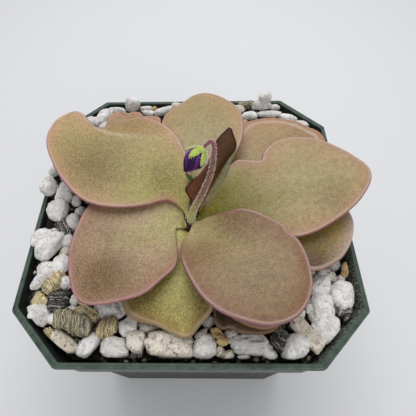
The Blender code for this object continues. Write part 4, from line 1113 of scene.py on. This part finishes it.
def tube(path, radii, sides):
    """Rings of a round bar along a path, its section kept square to the path."""
    path = [Vector(point) for point in path]
    aside = Vector((1.0, 0.0, 0.0))
    rings = []
    for i, point in enumerate(path):
        ahead = (path[min(i + 1, len(path) - 1)] - path[max(i - 1, 0)]).normalized()
        aside = (aside - ahead * aside.dot(ahead)).normalized()
        up = ahead.cross(aside)
        angles = [2 * math.pi * k / sides for k in range(sides)]
        rings.append([point + float(radii[i]) * (math.cos(a) * aside + math.sin(a) * up) for a in angles])
    return rings


def make_stalk():
    """The hairy flower stalk, green at its foot and red-brown towards the bud."""
    shares = np.linspace(0, 1, 90)
    path = spread(rounded(STALK), shares) + np.array([*CROWN, 0])
    start, end = STALK_RADIUS
    radii = start + (end - start) * shares**0.7
    mesh = mesh_from("stalk", *stacked(tube(path, radii, 20)), {"length": np.repeat(shares, 20)})
    # Living stalk under fine down: the down scatters light along its outline, which sheen stands for.
    made, tree, shader, place, length = new_material(
        "hairy_stalk", ("length",), Metallic=0.0, Roughness=0.5, IOR=1.4, Sheen_Weight=0.9,
        Sheen_Roughness=0.3,
    )
    grain = add(tree, "TexNoise", {"Vector": place, "Scale": 1400, "Detail": 3})
    foot = add(tree, "MapRange", {0: length, 1: 0.12, 2: 0.34})
    lower = add(tree, "Mix", {0: foot, 6: "#A3A352", 7: "#86543A"})
    head = add(tree, "MapRange", {0: length, 1: 0.6, 2: 0.95})
    upper = add(tree, "Mix", {0: head, 6: lower, 7: "#8A4A58"})
    feed(tree, shader, {"Base Color": shaded(tree, upper, grain, 0.8, 1.15)})
    return piece("stalk", mesh, made, ["flower_stalk"])


def bud_frame():
    """The matrix that takes the bud's own axis, +Z from its top to its tip, to its place."""
    top, tip = (Vector((x + CROWN[0], y + CROWN[1], z)) for x, y, z in (BUD_TOP, BUD_TIP))
    turn = (tip - top).to_track_quat("Z", "Y").to_matrix().to_4x4()
    return Matrix.Translation(top) @ turn, (tip - top).length


def bud_radius(share):
    """The furled bud's radius: slim at the calyx, full in the middle and blunt at its tip."""
    return PETAL_RADIUS * math.sin(math.pi * min(0.97, 0.17 + 0.80 * max(share, 0.0))) ** 0.8


def make_petals():
    """Five petals wound round each other, each one's free edge standing proud of the next."""
    seat, length = bud_frame()
    rings, folds = [], []
    for turn in np.linspace(0, 1, 48):
        share = (1 - math.cos(math.pi * turn)) / 2
        ring = []
        for k in range(110):
            angle = 2 * math.pi * k / 110
            edge = (PETALS * angle / (2 * math.pi) + 0.9 * share) % 1.0
            radius = bud_radius(share) * (0.86 + 0.17 * edge**1.5) * math.sqrt(1 - turn**14)
            notch = 0.5 * share**5 * math.cos(2 * math.pi * (edge - 0.6))
            z = PETAL_START + (length - PETAL_START) * share + notch
            ring.append(seat @ Vector((radius * math.cos(angle), radius * math.sin(angle), z)))
            folds.append(edge)
        rings.append(ring)
    mesh = mesh_from("petals", *stacked(rings), {"fold": folds})
    # Furled petals: thin, smooth and full of dark purple sap, with a painted highlight along each free edge.
    made, tree, shader, place, fold = new_material("petal", ("fold",), Metallic=0.0, Roughness=0.42, IOR=1.35)
    grain = add(tree, "TexNoise", {"Vector": place, "Scale": 700, "Detail": 4, "Roughness": 0.6})
    # lit marks the painted highlight, strongest at each free edge.
    lit = add(tree, "MapRange", {0: fold, 1: 0.55, 2: 1.0}, interpolation_type="SMOOTHSTEP")
    patch = add(tree, "MapRange", {0: grain, 1: 0.35, 2: 0.65})
    dark = add(tree, "Mix", {0: patch, 6: "#160226", 7: "#380B52"})
    colour = add(tree, "Mix", {0: lit, 6: dark, 7: "#6E2C8A"})
    feed(tree, shader, {"Base Color": colour})
    piece("bud_petals", mesh, made, ["petals"])


def make_calyx():
    """Five pointed sepals that hug the bud, joined in a small cup at the stalk."""
    seat, length = bud_frame()
    points, faces, shares = [], [], []
    cup = []
    around = np.linspace(0, 2 * math.pi, 40, endpoint=False)
    for z, radius in ((-0.15, 0.5), (0.0, 0.8), (0.3, 1.15), (0.8, 1.42), (1.4, 1.6), (1.5, 1.4), (0.8, 0.9)):
        cup.append([seat @ Vector(point) for point in circle(radius, z, around)])
    join(points, faces, *stacked(cup))
    shares += [0.0] * len(points)
    for lobe in range(SEPALS):
        middle = 2 * math.pi * (lobe + 0.15) / SEPALS
        sections = []
        for share in np.linspace(0, 1, 22):
            z = 0.7 + CALYX_LENGTH * share
            body = bud_radius((z - PETAL_START) / (length - PETAL_START)) + 0.06 + 0.12 * share**2
            half = 0.56 * (1 - share**1.3) ** 0.85 + 0.015
            outside = [(body + 0.30 - 0.22 * t**2, middle + t * half) for t in np.linspace(-1, 1, 11)]
            inside = [(body - 0.05, middle + t * half * 0.92) for t in np.linspace(1, -1, 11)]
            ring = []
            for radius, angle in outside + inside:
                ring.append(seat @ Vector((radius * math.cos(angle), radius * math.sin(angle), z)))
            sections.append(ring)
            shares += [share] * len(ring)
        join(points, faces, *stacked(sections))
    mesh = mesh_from("calyx", points, faces, {"length": shares})
    # Sepals: firm green tissue with a fine downy grain of 0.6 mm, which keeps them satin.
    made, tree, shader, place, tip = new_material("sepal", ("length",), Metallic=0.0, Roughness=0.5, IOR=1.4)
    grain = add(tree, "TexNoise", {"Vector": place, "Scale": 1600, "Detail": 3})
    fresh = add(tree, "Mix", {0: grain, 6: "#7F9A30", 7: "#C3D456"})
    colour = add(tree, "Mix", {0: tip, 6: fresh, 7: "#A9C24A"})
    feed(tree, shader, {"Base Color": colour})
    return piece("bud_calyx", mesh, made, ["calyx"])


def finish_crown():
    """The stem keeps its own solid, with the dark matte skin of old leaf bases."""
    # Withered leaf bases: fibrous, wet and nearly black, with no shine.
    made = mottled("old_stem", 1200, 4, "#140C08", "#3A261A", Metallic=0.0, Roughness=0.9)
    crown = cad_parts["crown"]
    crown.data.materials.clear()
    crown.data.materials.append(made)


# The potting mix.
def mix_level(x, y):
    """The height of the fine mix under the stones, heaped to the back and the left."""
    return MIX_TOP + HEAP_BACK * float(smooth((y - 2) / 34)) + HEAP_LEFT * float(smooth((-x - 24) / 14))


def leaf_undersides():
    """The lowest leaf underside over each cell of a grid in plan, and 1e3 where no leaf is."""
    count = int(2 * LEAF_CELLS)
    found = np.full((count, count), 1e3)
    for name, leaf in LEAVES.items():
        plan, along, across = leaf_grid(leaf, 110, 80)
        low = leaf_height(name, plan, along, across) - leaf["thick"] - leaf["wave"] - STONE_GAP
        cell = ((plan + np.array(CROWN)) / LEAF_CELL + LEAF_CELLS).astype(int)
        np.minimum.at(found, (cell[..., 0].ravel(), cell[..., 1].ravel()), low.ravel())
    padded = np.pad(found, 1, constant_values=1e3)
    return np.min([padded[i:i + count, j:j + count] for i in range(3) for j in range(3)], axis=0)


def room_over(undersides, points):
    """The height that each point must stay under because of the leaves."""
    cell = np.clip((points[:, :2] / LEAF_CELL + LEAF_CELLS).astype(int), 0, len(undersides) - 1)
    return undersides[cell[:, 0], cell[:, 1]]


def fill_stones():
    """Places and sizes of the stones of the loose grid, away from the listed ones and the stem."""
    draw = random.Random(FILL_SEED)
    stones = []
    for row in FILL_STEPS:
        for column in FILL_STEPS:
            x = FILL_PITCH * (column + 0.5 * (row % 2)) + draw.uniform(-FILL_SPREAD, FILL_SPREAD)
            y = FILL_PITCH * FILL_ROWS * row + draw.uniform(-FILL_SPREAD, FILL_SPREAD)
            size = draw.uniform(*FILL_SIZE)
            turn = draw.uniform(0, 90)
            kind = draw.choice(("perlite", "perlite", "pumice", "gold", "dark"))
            if max(abs(x), abs(y)) > FILL_EDGE - size / 2 or abs(x) + abs(y) > FILL_CORNER - size / 2:
                continue
            if math.hypot(x - CROWN[0], y - CROWN[1]) < STEM_ROOM:
                continue
            if any(math.hypot(x - p[0], y - p[1]) < FILL_NEAR * (size + max(s[:2])) for _, p, s, _ in STONES):
                continue
            stones.append((kind, (x, y, mix_level(x, y) + 0.6), (size, size * 0.9, size * 0.85), turn))
    return stones


def unit_sized(points):
    """The points moved about the origin and scaled to fill a unit cube."""
    low, high = points.min(0), points.max(0)
    return (points - (low + high) / 2) / (high - low)


def rough_stone(kind, seed, detail):
    """A unit stone: perlite is a few balls of foam run together, pumice is chipped and pitted."""
    shape = bmesh.new()
    bmesh.ops.create_icosphere(shape, subdivisions=detail, radius=1.0)
    points = np.array([v.co[:] for v in shape.verts])
    faces = [[v.index for v in face.verts] for face in shape.faces]
    shape.free()
    draw = np.random.RandomState(seed)
    if kind == "perlite":
        middles = draw.normal(size=(5, 3)) * (0.30, 0.30, 0.22)
        radii = draw.uniform(0.55, 0.80, 5)
        ahead = points @ middles.T
        reach = ahead**2 - (middles**2).sum(1) + radii**2
        far = ahead + np.sqrt(np.maximum(reach, 0.0))
        balls = np.log(np.exp(far * 14.0).sum(1)) / 14.0
    chips = draw.normal(size=(8, 3))
    blocky = np.concatenate([np.eye(3), -np.eye(3)]) + draw.normal(size=(6, 3)) * 0.22
    planes = np.concatenate([blocky, chips])
    planes /= np.linalg.norm(planes, axis=1)[:, None]
    away = np.concatenate([draw.uniform(0.78, 0.95, 6), draw.uniform(0.95, 1.12, 8)])
    facing = np.maximum(points @ planes.T, 1e-3)
    sharp = 3.4 if kind == "perlite" else 7.0
    radius = np.sum((away / facing) ** -sharp, axis=1) ** (-1 / sharp)
    if kind == "perlite":
        radius = radius**0.7 * balls**0.3
    lobes, pits, grit = (0.20, 0.07, 0.03) if kind == "perlite" else (0.22, 0.15, 0.05)
    shift = Vector(draw.uniform(-50, 50, 3))
    for i, point in enumerate(points):
        at = Vector(point)
        wide = abs(noise.noise(at * 1.6 + shift)) - 0.25
        pit = abs(noise.noise(at * 3.9 + shift * 1.7)) - 0.25
        fine = noise.noise(at * 9.0 + shift * 2.3)
        radius[i] *= 1 + lobes * wide + pits * pit + grit * fine
    return unit_sized(points * radius[:, None]), faces


def layered_stone(seed, length, width):
    """A unit piece of vermiculite: a pack of mica leaves swollen apart, ragged at its sides. Returns its
    points and faces, how deep each point lies in a slit, and its place along the pack in millimetres."""
    draw = random.Random(seed)
    sides = 16
    outline = []
    for i in range(sides):
        angle = 2 * math.pi * i / sides
        box = (abs(math.cos(angle)) ** 7 + abs(math.sin(angle)) ** 7) ** (-1 / 7)
        outline.append(box * draw.uniform(0.86, 1.04))
    rings, groove, layer = [], [], []
    place, drift = 0.0, [0.0, 0.0]
    grow, shear = 1.0, draw.uniform(-0.25, 0.25)
    while place < length:
        thick = draw.choice((0.14, 0.2, 0.28, 0.4))
        grow = min(1.08, max(0.84, grow + draw.uniform(-0.09, 0.09)))
        drift = [0.7 * d + draw.uniform(-0.05, 0.05) for d in drift]
        deep = draw.uniform(0.16, 0.34) if draw.random() < 0.3 else draw.uniform(0.01, 0.07)
        opened = draw.uniform(0, 2 * math.pi)
        edges = [draw.uniform(0.93, 1.05) for _ in range(sides)]
        # The pack narrows towards its worn ends.
        wear_and_painted_light = 1 - 0.24 * abs(2 * place / length - 1) ** 3
        for step, part in ((0.0, 0.6), (0.18, 1.0), (0.62, 1.0), (0.8, 0.5)):
            ring = []
            for i, reach in enumerate(outline):
                angle = 2 * math.pi * i / sides
                gape = deep * (0.5 + 0.5 * math.cos(angle - opened)) ** 1.5
                radius = 0.5 * reach * edges[i] * grow * wear_and_painted_light * (1 - 2 * (1 - part) * gape)
                y, z = radius * math.cos(angle) + drift[0], radius * math.sin(angle) + drift[1]
                ring.append((place + step * thick + shear * y * width, y * width, z * width))
                groove.append(min(1.0, (1 - part) * gape * 12))
                layer.append(place + step * thick)
            rings.append(ring)
        place += thick
    points, faces = stacked(rings)
    return unit_sized(np.array(points)), faces, groove, layer


def stone_material(name, light, dark, pore_shade, warm, openness):
    """A kiln-popped or volcanic glass foam: dead matt, full of pores of 0.2 to 0.6 mm, whiter where it is
    broken. The pores are drawn at 1 mm and only here and there, and they and the creases are painted darker
    as the shade inside them. tint is each stone's own tone, and openness, up to 1, how dark and deep its
    pores look."""
    made, tree, shader, place, tint = new_material(name, ("tint",), Metallic=0.0, Roughness=0.95, IOR=1.45)
    cloud = add(tree, "TexNoise", {"Vector": place, "Scale": 330, "Detail": 6, "Roughness": 0.7})
    fine = add(tree, "TexNoise", {"Vector": place, "Scale": 1500, "Detail": 4, "Roughness": 0.7})
    pores = add(tree, "TexVoronoi", {"Vector": place, "Scale": 1000})
    few = add(tree, "TexNoise", {"Vector": place, "Scale": 420, "Detail": 4, "Roughness": 0.6})
    body = add(tree, "Mix", {0: tint, 6: light, 7: warm})
    veil = add(tree, "MapRange", {0: cloud, 1: 0.44, 2: 0.70, 4: 0.8})
    stained = add(tree, "Mix", {0: veil, 6: body, 7: dark})
    # Painted shade: pores and creases are darker.
    open_here = add(tree, "Math", {0: few, 1: -2.2, 2: pores}, operation="MULTIPLY_ADD")
    hole = add(tree, "MapRange", {0: open_here, 1: -0.92, 2: -1.12, 4: openness})
    level = add(tree, "Math", {0: cloud, 1: 0.52}, operation="SUBTRACT")
    off = add(tree, "Math", {0: level}, operation="ABSOLUTE")
    crease = add(tree, "MapRange", {0: off, 1: 0.014, 2: 0.0, 4: 0.5 * openness})
    holes = add(tree, "Math", {0: hole, 1: crease}, operation="MAXIMUM")
    pitted = add(tree, "Mix", {0: holes, 6: stained, 7: pore_shade})
    colour = shaded(tree, pitted, fine, 0.82, 1.06)
    coarse = add(tree, "Math", {0: cloud, 1: 1.0 + 1.4 * openness})
    both = add(tree, "Math", {0: coarse, 1: fine}, operation="ADD")
    height = add(tree, "Math", {0: both, 1: holes}, operation="SUBTRACT")
    relief = add(tree, "Bump", {"Height": height, "Strength": 0.8, "Distance": 0.0006})
    feed(tree, shader, {"Base Color": colour, "Normal": relief})
    return made


def mica_material(name, light, middle, slit, bright):
    """Roasted mica: pearly leaves seen edge on, as lines of uneven strength with slits between them, painted
    dark as the shade in them. Its leaves are thinner than 0.1 mm, so each line stands for several. bright is
    the level of the lines' noise from which they are light: the higher, the fewer."""
    made, tree, shader, place, groove, tint, layer = new_material(
        name, ("groove", "tint", "layer"), Metallic=0.1, IOR=1.55
    )
    cloud = add(tree, "TexNoise", {"Vector": place, "Scale": 560, "Detail": 4, "Roughness": 0.7})
    bent = add(tree, "Math", {0: cloud, 1: 2.6, 2: layer}, operation="MULTIPLY_ADD")
    lines = add(
        tree, "TexNoise", {"W": bent, "Scale": 3.4, "Detail": 3, "Roughness": 0.6},
        noise_dimensions="1D",
    )
    pale = add(tree, "MapRange", {0: lines, 1: bright, 2: bright + 0.16})
    leafy = add(tree, "Mix", {0: pale, 6: middle, 7: light})
    toned = shaded(tree, leafy, tint, 0.75, 1.1, (0.0, 1.0))
    # Painted shade: the slits between the leaves, and where the pack gapes, are dark, more in some places
    # than others.
    dark = add(tree, "MapRange", {0: lines, 1: 0.49, 2: 0.40})
    deep = add(tree, "Math", {0: dark, 1: groove}, operation="MAXIMUM")
    wear_and_painted_light = add(tree, "MapRange", {0: cloud, 1: 0.38, 2: 0.56, 3: 0.35})
    slits = add(tree, "Math", {0: deep, 1: wear_and_painted_light})
    colour = add(tree, "Mix", {0: slits, 6: toned, 7: slit})
    gloss = add(tree, "MapRange", {0: cloud, 3: 0.35, 4: 0.75})
    height = add(tree, "Math", {0: cloud, 1: slits}, operation="SUBTRACT")
    relief = add(tree, "Bump", {"Height": height, "Strength": 0.7, "Distance": 0.0004})
    feed(tree, shader, {"Base Color": colour, "Roughness": gloss, "Normal": relief})
    return made


def packing_stones(placed):
    """Smaller stones dropped, seeded, wherever they fit between those already placed."""
    draw = random.Random(PACK_SEED)
    placed = [(x, y, max(size[:2])) for _, (x, y, _), size, _ in placed]
    found = []
    for _ in range(PACK_TRIES):
        x, y = draw.uniform(-FILL_EDGE, FILL_EDGE), draw.uniform(-FILL_EDGE, FILL_EDGE)
        size = draw.uniform(*PACK_SIZE)
        turn = draw.uniform(0, 90)
        kind = draw.choices(("perlite", "pumice", "gold", "dark"), (5, 4, 1, 1))[0]
        if abs(x) + abs(y) > FILL_CORNER - size / 2 or math.hypot(x - CROWN[0], y - CROWN[1]) < UNDER_LEAVES:
            continue
        if any(math.hypot(x - px, y - py) < PACK_NEAR * (size + other) for px, py, other in placed):
            continue
        placed.append((x, y, size))
        place = (x, y, mix_level(x, y) + 0.35 * size - 0.5)
        found.append((kind, place, (size, 0.85 * size, 0.85 * size), turn))
    return found


def within_pot(points):
    """Points near the pot's wall and under the rim are drawn in, so that a stone that leans on it stays
    round."""
    x, y, z = np.abs(points[:, 0]), np.abs(points[:, 1]), points[:, 2]
    reach = np.maximum(np.maximum(x, y) / STONE_EDGE, (x + y) / STONE_CORNER)
    past = np.maximum(reach - STONE_KNEE, 0) / (1 - STONE_KNEE)
    drawn = np.where(past > 0, STONE_KNEE + (1 - STONE_KNEE) * np.tanh(past), reach)
    held = smooth((POT_HEIGHT + STONE_FREE - z) / STONE_FREE_FADE)
    points[:, :2] *= (1 - held * (1 - drawn / np.maximum(reach, 1e-6)))[:, None]
    return points


def make_stones():
    """All stones, one piece for each kind."""
    undersides = leaf_undersides()
    groups = {kind: ([], [], [], [], []) for kind in ("perlite", "pumice", "husk", "gold", "dark", "grey")}
    listed = STONES + fill_stones()
    for seed, (kind, (x, y, z), size, turn) in enumerate(listed + packing_stones(listed)):
        size = np.array(size) * (STONE_SWELL if seed < len(STONES) else 1.0)
        over = room_over(undersides, np.array([(x, y)]))[0]
        z = min(z, over - STONE_UNDER_LEAF * size[2])
        if kind in ("perlite", "pumice", "husk"):
            detail = 4 if seed < len(STONES) and max(size) > BIG_STONE else 3 if seed < len(listed) else 2
            shape, skin = rough_stone(kind, seed, detail)
            groove = layer = [0.0] * len(shape)
        else:
            shape, skin, groove, layer = layered_stone(seed, size[0], size[1])
        rock = math.radians(STONE_ROCK * math.sin(seed * 5.0))
        turned = Matrix.Rotation(math.radians(turn), 3, "Z") @ Matrix.Rotation(rock, 3, "X")
        shape = within_pot((shape * size) @ np.array(turned).T + np.array((x, y, z)))
        shape[:, 2] = np.minimum(shape[:, 2], room_over(undersides, shape))
        points, faces, tints, grooves, layers = groups[kind]
        join(points, faces, shape.tolist(), skin)
        tints += [random.Random(seed).random()] * len(shape)
        grooves += groove
        layers += layer
    # Each foam: kind, piece, material, light and dark colour, the painted shade of its pores, warm tint,
    # openness.
    foams = (
        ("perlite", "perlite_stones", "expanded_perlite", "#FDFCFB", "#E8E3DF", "#B4AEA8", "#F6F2EE", 0.45),
        ("pumice", "pumice_stones", "pumice", "#F6F0E6", "#CEC2AE", "#7C6C58", "#E8DDCC", 0.85),
        ("husk", "brown_grains", "weathered_pumice", "#E0C490", "#A07C4C", "#38240F", "#C8A470", 1.0),
    )
    # Each mica: kind, piece, material, light and middle colour, the painted shade of its slits, and the level
    # from which its lines are light.
    micas = (
        ("gold", "gold_vermiculite", "gold_mica", "#FCF0CC", "#D6B878", "#33220F", 0.44),
        ("dark", "dark_vermiculite", "dark_mica", "#F4F0E6", "#2C2820", "#040303", 0.52),
        ("grey", "grey_vermiculite", "grey_mica", "#EAE4CC", "#A59A76", "#1E1A10", 0.48),
    )
    for rows, make_material in ((foams, stone_material), (micas, mica_material)):
        for kind, name, *look in rows:
            points, faces, tints, grooves, layers = groups[kind]
            mesh = mesh_from(name, points, faces, {"tint": tints, "groove": grooves, "layer": layers})
            piece(name, mesh, make_material(*look), ["potting_mix"])


def make_bed():
    """The fine dark mix that fills the pot under the stones, with its surface crumbled."""
    floor_section = between(BASE, BODY_TOP, (FLOOR + 0.3) / COLLAR_Z)
    inside = WALL + 0.3
    rings = [
        cut_square(floor_section, FLOOR + 0.3, inside),
        cut_square(BODY_TOP, COLLAR_Z + WALL + 0.3, inside),
        cut_square(COLLAR_FOOT, COLLAR_Z + WALL + 0.8, inside + 0.1),
    ]
    brim = cut_square(COLLAR_FOOT, 0.0, inside)
    for share in np.linspace(1.0, 0.03, 44):
        ring = []
        for x, y, _ in brim:
            x, y = share * x, share * y
            heaps = noise.noise(Vector((0.35 * x, 0.35 * y, 3.0)))
            crumbs = noise.noise(Vector((0.9 * x, 0.9 * y, 7.0)))
            ring.append((x, y, mix_level(x, y) + MIX_ROUGH * (heaps + 0.6 * crumbs)))
        rings.append(ring)
    points, faces = stacked(rings)
    top = [float(z > MIX_SURFACE) for _, _, z in points]
    # Damp peat and stone dust: crumbs of 1 mm, dead matt and dark, and painted nearly black as the shade in
    # the gaps between stones.
    made, tree, shader, place = new_material("fine_mix", Metallic=0.0, Roughness=0.95)
    grain = add(tree, "TexNoise", {"Vector": place, "Scale": 900, "Detail": 5, "Roughness": 0.7})
    ramp = add(tree, "MapRange", {0: grain, 1: 0.4, 2: 0.75})
    colour = add(tree, "Mix", {0: ramp, 6: "#0A0907", 7: "#2C261E"})
    relief = add(tree, "Bump", {"Height": grain, "Strength": 0.8, "Distance": 0.0005})
    feed(tree, shader, {"Base Color": colour, "Normal": relief})
    mesh = mesh_from("mix_bed", points, faces, {"top": top})
    return piece("mix_bed", mesh, made, ["potting_mix"])


# Small repeats, stood on the surfaces above by one node tree.
def scatter_tree():
    """Copies of a small shape on a surface, evenly spaced, each turned, leaned and sized at random."""
    tree = bpy.data.node_groups.new("scatter", "GeometryNodeTree")
    inputs = {
        "Geometry": ["Surface"], "Object": ["Shape"], "Material": ["Finish"], "String": ["Mask"],
        "Float": ["Spacing", "Density", "Smallest", "Largest", "Lean"], "Int": ["Seed"],
    }
    for kind, names in inputs.items():
        for name in names:
            tree.interface.new_socket(name=name, in_out="INPUT", socket_type="NodeSocket" + kind)
    tree.interface.new_socket(name="Copies", in_out="OUTPUT", socket_type="NodeSocketGeometry")
    given = add(tree, "NodeGroupInput").outputs
    mask = add(tree, "GeometryNodeInputNamedAttribute", {"Name": given["Mask"]}, data_type="FLOAT")
    spots = add(
        tree, "GeometryNodeDistributePointsOnFaces",
        {"Mesh": given["Surface"], "Distance Min": given["Spacing"], "Density Max": given["Density"],
         "Density Factor": mask, "Seed": given["Seed"]},
        distribute_method="POISSON",
    )
    lean_back = add(tree, "Math", {0: given["Lean"], 1: -1.0})
    least = add(tree, "CombineXYZ", {0: lean_back, 1: lean_back, 2: 0.0})
    most = add(tree, "CombineXYZ", {0: given["Lean"], 1: given["Lean"], 2: 2 * math.pi})
    turn = add(
        tree, "FunctionNodeRandomValue", {0: least, 1: most, "Seed": given["Seed"]},
        data_type="FLOAT_VECTOR",
    )
    size = add(
        tree, "FunctionNodeRandomValue", {2: given["Smallest"], 3: given["Largest"], "Seed": given["Seed"]},
        data_type="FLOAT",
    )
    shape = add(tree, "GeometryNodeObjectInfo", {"Object": given["Shape"]})
    copies = add(
        tree, "GeometryNodeInstanceOnPoints",
        {"Points": spots.outputs["Points"], "Instance": shape.outputs["Geometry"],
         "Rotation": spots.outputs["Rotation"], "Scale": size.outputs[1]},
    )
    euler = add(tree, "FunctionNodeEulerToRotation", {0: turn})
    turned = add(tree, "GeometryNodeRotateInstances", {"Instances": copies, "Rotation": euler})
    shade = add(tree, "FunctionNodeRandomValue", {2: 0.0, 3: 1.0, "Seed": given["Seed"]}, data_type="FLOAT")
    tinted = add(
        tree, "GeometryNodeStoreNamedAttribute",
        {"Geometry": turned, "Name": "tint", "Value": shade.outputs[1]},
        data_type="FLOAT", domain="INSTANCE",
    )
    real = add(tree, "GeometryNodeRealizeInstances", {0: tinted})
    finished = add(tree, "GeometryNodeSetMaterial", {"Geometry": real, "Material": given["Finish"]})
    add(tree, "NodeGroupOutput", {"Copies": finished})
    return tree


def scatter(tree, host, name, slot, shape, **values):
    """Runs the scatter tree on a host's mesh and keeps the copies as a piece of their own."""
    carrier, small = shown(name + "_carrier", host.data), shown(name + "_shape", shape)
    modifier = carrier.modifiers.new("scatter", "NODES")
    modifier.node_group = tree
    known = {item.name: item.identifier for item in tree.interface.items_tree if item.in_out == "INPUT"}
    modifier[known["Shape"]] = small
    for key, value in values.items():
        modifier[known[key]] = value
    return piece(name, applied(carrier, small))


def gland_shape():
    """A droplet on a gland, as an eight-sided bead of unit width whose foot is below the surface."""
    points = [(0.5, 0, 0.3), (0, 0.5, 0.3), (-0.5, 0, 0.3), (0, -0.5, 0.3), (0, 0, 0.75), (0, 0, -0.2)]
    faces = [(0, 1, 4), (1, 2, 4), (2, 3, 4), (3, 0, 4), (1, 0, 5), (2, 1, 5), (3, 2, 5), (0, 3, 5)]
    return plain_mesh("gland", points, faces)


def hair_shape():
    """A hair of unit length, three-sided and tapered, with a bead at its end."""
    rings = ((0.12, -0.1), (0.08, 0.86), (0.14, 0.93), (0.06, 1.0))
    return plain_mesh("hair", *stacked([circle(radius, z, (0.0, 2.1, 4.2)) for radius, z in rings]))


def crumb_shape(seed):
    """A crumb of unit size with a dozen odd corners."""
    draw = random.Random(seed)
    shape = bmesh.new()
    bmesh.ops.create_icosphere(shape, subdivisions=1, radius=0.5)
    for vert in shape.verts:
        vert.co *= draw.uniform(0.7, 1.15)
        vert.co.z *= 0.75
    mesh = bpy.data.meshes.new("crumb")
    shape.to_mesh(mesh)
    shape.free()
    return mesh


def crumb_material():
    """Bits of bark, mica and perlite: each crumb has one shade."""
    made, tree, shader, _, tint = new_material("grit", ("tint",), Metallic=0.0, Roughness=0.9)
    ramp = add(tree, "ValToRGB", {0: tint})
    stops = ramp.color_ramp.elements
    stops[0].color = linear("#12100D")
    stops[1].color = linear("#D2CEC6")
    for place, code in ((0.45, "#26211B"), (0.70, "#463D31"), (0.88, "#857B6C")):
        stops.new(place).color = linear(code)
    feed(tree, shader, {"Base Color": ramp})
    return made


def make_repeats(leaves, stalk, calyx, bed):
    """Glands on the upper leaves, hairs on the stalk and the sepals, and grit on the fine mix."""
    tree = scatter_tree()
    # Mucilage on the leaf glands: clear, wet and slightly yellow, so it only lights up.
    mucilage = mottled(
        "mucilage", 300, 2, "#B3A66E", "#D6CA9A", Metallic=0.0, Roughness=0.12, IOR=1.36, Coat_Weight=0.5
    )
    # Plant hairs are clear and pass on light from behind, so they outline the stalk in white. A faint glow
    # stands for the light that comes through them.
    plant_hair = mottled(
        "plant_hair", 500, 1, "#F2EDE6", "#FFFFFF", Metallic=0.0, Roughness=0.4, IOR=1.4,
        Emission_Color="#FFF4F0", Emission_Strength=0.22,
    )
    for seed, (name, leaf) in enumerate(leaves.items()):
        glint = LEAF_LOOKS[name]["glint"]
        if not glint:
            continue
        masks = {key: np.zeros(len(leaf.data.vertices), np.float32) for key in ("under", "patch", "margin")}
        for key, values in masks.items():
            leaf.data.attributes[key].data.foreach_get("value", values)
        open_top = (masks["under"] < 0.01) * (masks["margin"] > 0.4)
        set_mask(leaf.data, "glands", open_top * (0.25 + 0.75 * masks["patch"]) * glint)
        scatter(tree, leaf, name + "_glands", "leaf", gland_shape(), Finish=mucilage, Seed=seed, **GLANDS)
    for host, name, slot, spacing in (
        (stalk, "stalk_hairs", "flower_stalk", STALK_HAIR_SPACING),
        (calyx, "calyx_hairs", "calyx", CALYX_HAIR_SPACING),
    ):
        set_mask(host.data, "hairs", np.ones(len(host.data.vertices)))
        scatter(tree, host, name, slot, hair_shape(), Finish=plant_hair, Spacing=spacing, **HAIRS)
    scatter(tree, bed, "grit", "potting_mix", crumb_shape(4), Finish=crumb_material(), **GRIT)


# The stage, the light and the camera.
def make_stage():
    """A plain pale floor, a large soft light above and behind, and an even sky."""
    corners = [(FLOOR_HALF * x, FLOOR_HALF * y, 0.0) for x, y in ((-1, -1), (1, -1), (1, 1), (-1, 1))]
    floor = shown("floor", plain_mesh("floor", corners, [(0, 1, 2, 3)]))
    # Matt photographic paper: even and without shine, so it only takes soft shadows.
    paper = new_material("matt_paper", Base_Color="#E2E3E6", Roughness=0.9, Metallic=0.0)[0]
    floor.data.materials.append(paper)

    world = bpy.data.worlds.new("studio")
    scene.world = world
    world.use_nodes = True
    background = world.node_tree.nodes["Background"]
    feed(world.node_tree, background, {"Color": "#F8F8F8", "Strength": 0.40})

    for name, place, size, power in LAMPS:
        light = bpy.data.lights.new(name, "AREA")
        light.size = size * MM
        light.energy = power
        lamp = shown(name, light)
        lamp.location = Vector(place) * MM
        lamp.rotation_euler = (Vector(LIT_POINT) - Vector(place)).to_track_quat("-Z", "Y").to_euler()


def make_camera():
    """The photo's camera: yaw to the right, pitch down and roll, in radians."""
    yaw, pitch, roll = CAMERA_YAW, CAMERA_PITCH, CAMERA_ROLL
    ahead = Vector((math.sin(yaw) * math.cos(pitch), math.cos(yaw) * math.cos(pitch), -math.sin(pitch)))
    right = Vector((math.cos(yaw), -math.sin(yaw), 0.0))
    up = right.cross(ahead)
    across = math.cos(roll) * right + math.sin(roll) * up
    upright = -math.sin(roll) * right + math.cos(roll) * up
    lens = bpy.data.cameras.new("camera")
    lens.sensor_width = CAMERA_SENSOR
    lens.lens = CAMERA_LENS
    lens.shift_x, lens.shift_y = CAMERA_SHIFT
    lens.clip_start = 0.005
    camera = shown("camera", lens)
    turn = Matrix((across, upright, -ahead)).transposed().to_4x4()
    camera.matrix_world = Matrix.Translation(Vector(CAMERA_PLACE) * MM) @ turn
    scene.camera = camera


def main():
    """The view, the stage, every piece in its place, and last the small repeats that stand on them."""
    scene.view_settings.view_transform = "Standard"
    make_camera()
    make_stage()
    make_pot()
    leaves = make_leaves()
    make_young_leaf()
    make_leaf_bud()
    stalk = make_stalk()
    make_petals()
    calyx = make_calyx()
    finish_crown()
    bed = make_bed()
    make_stones()
    make_repeats(leaves, stalk, calyx, bed)


main()
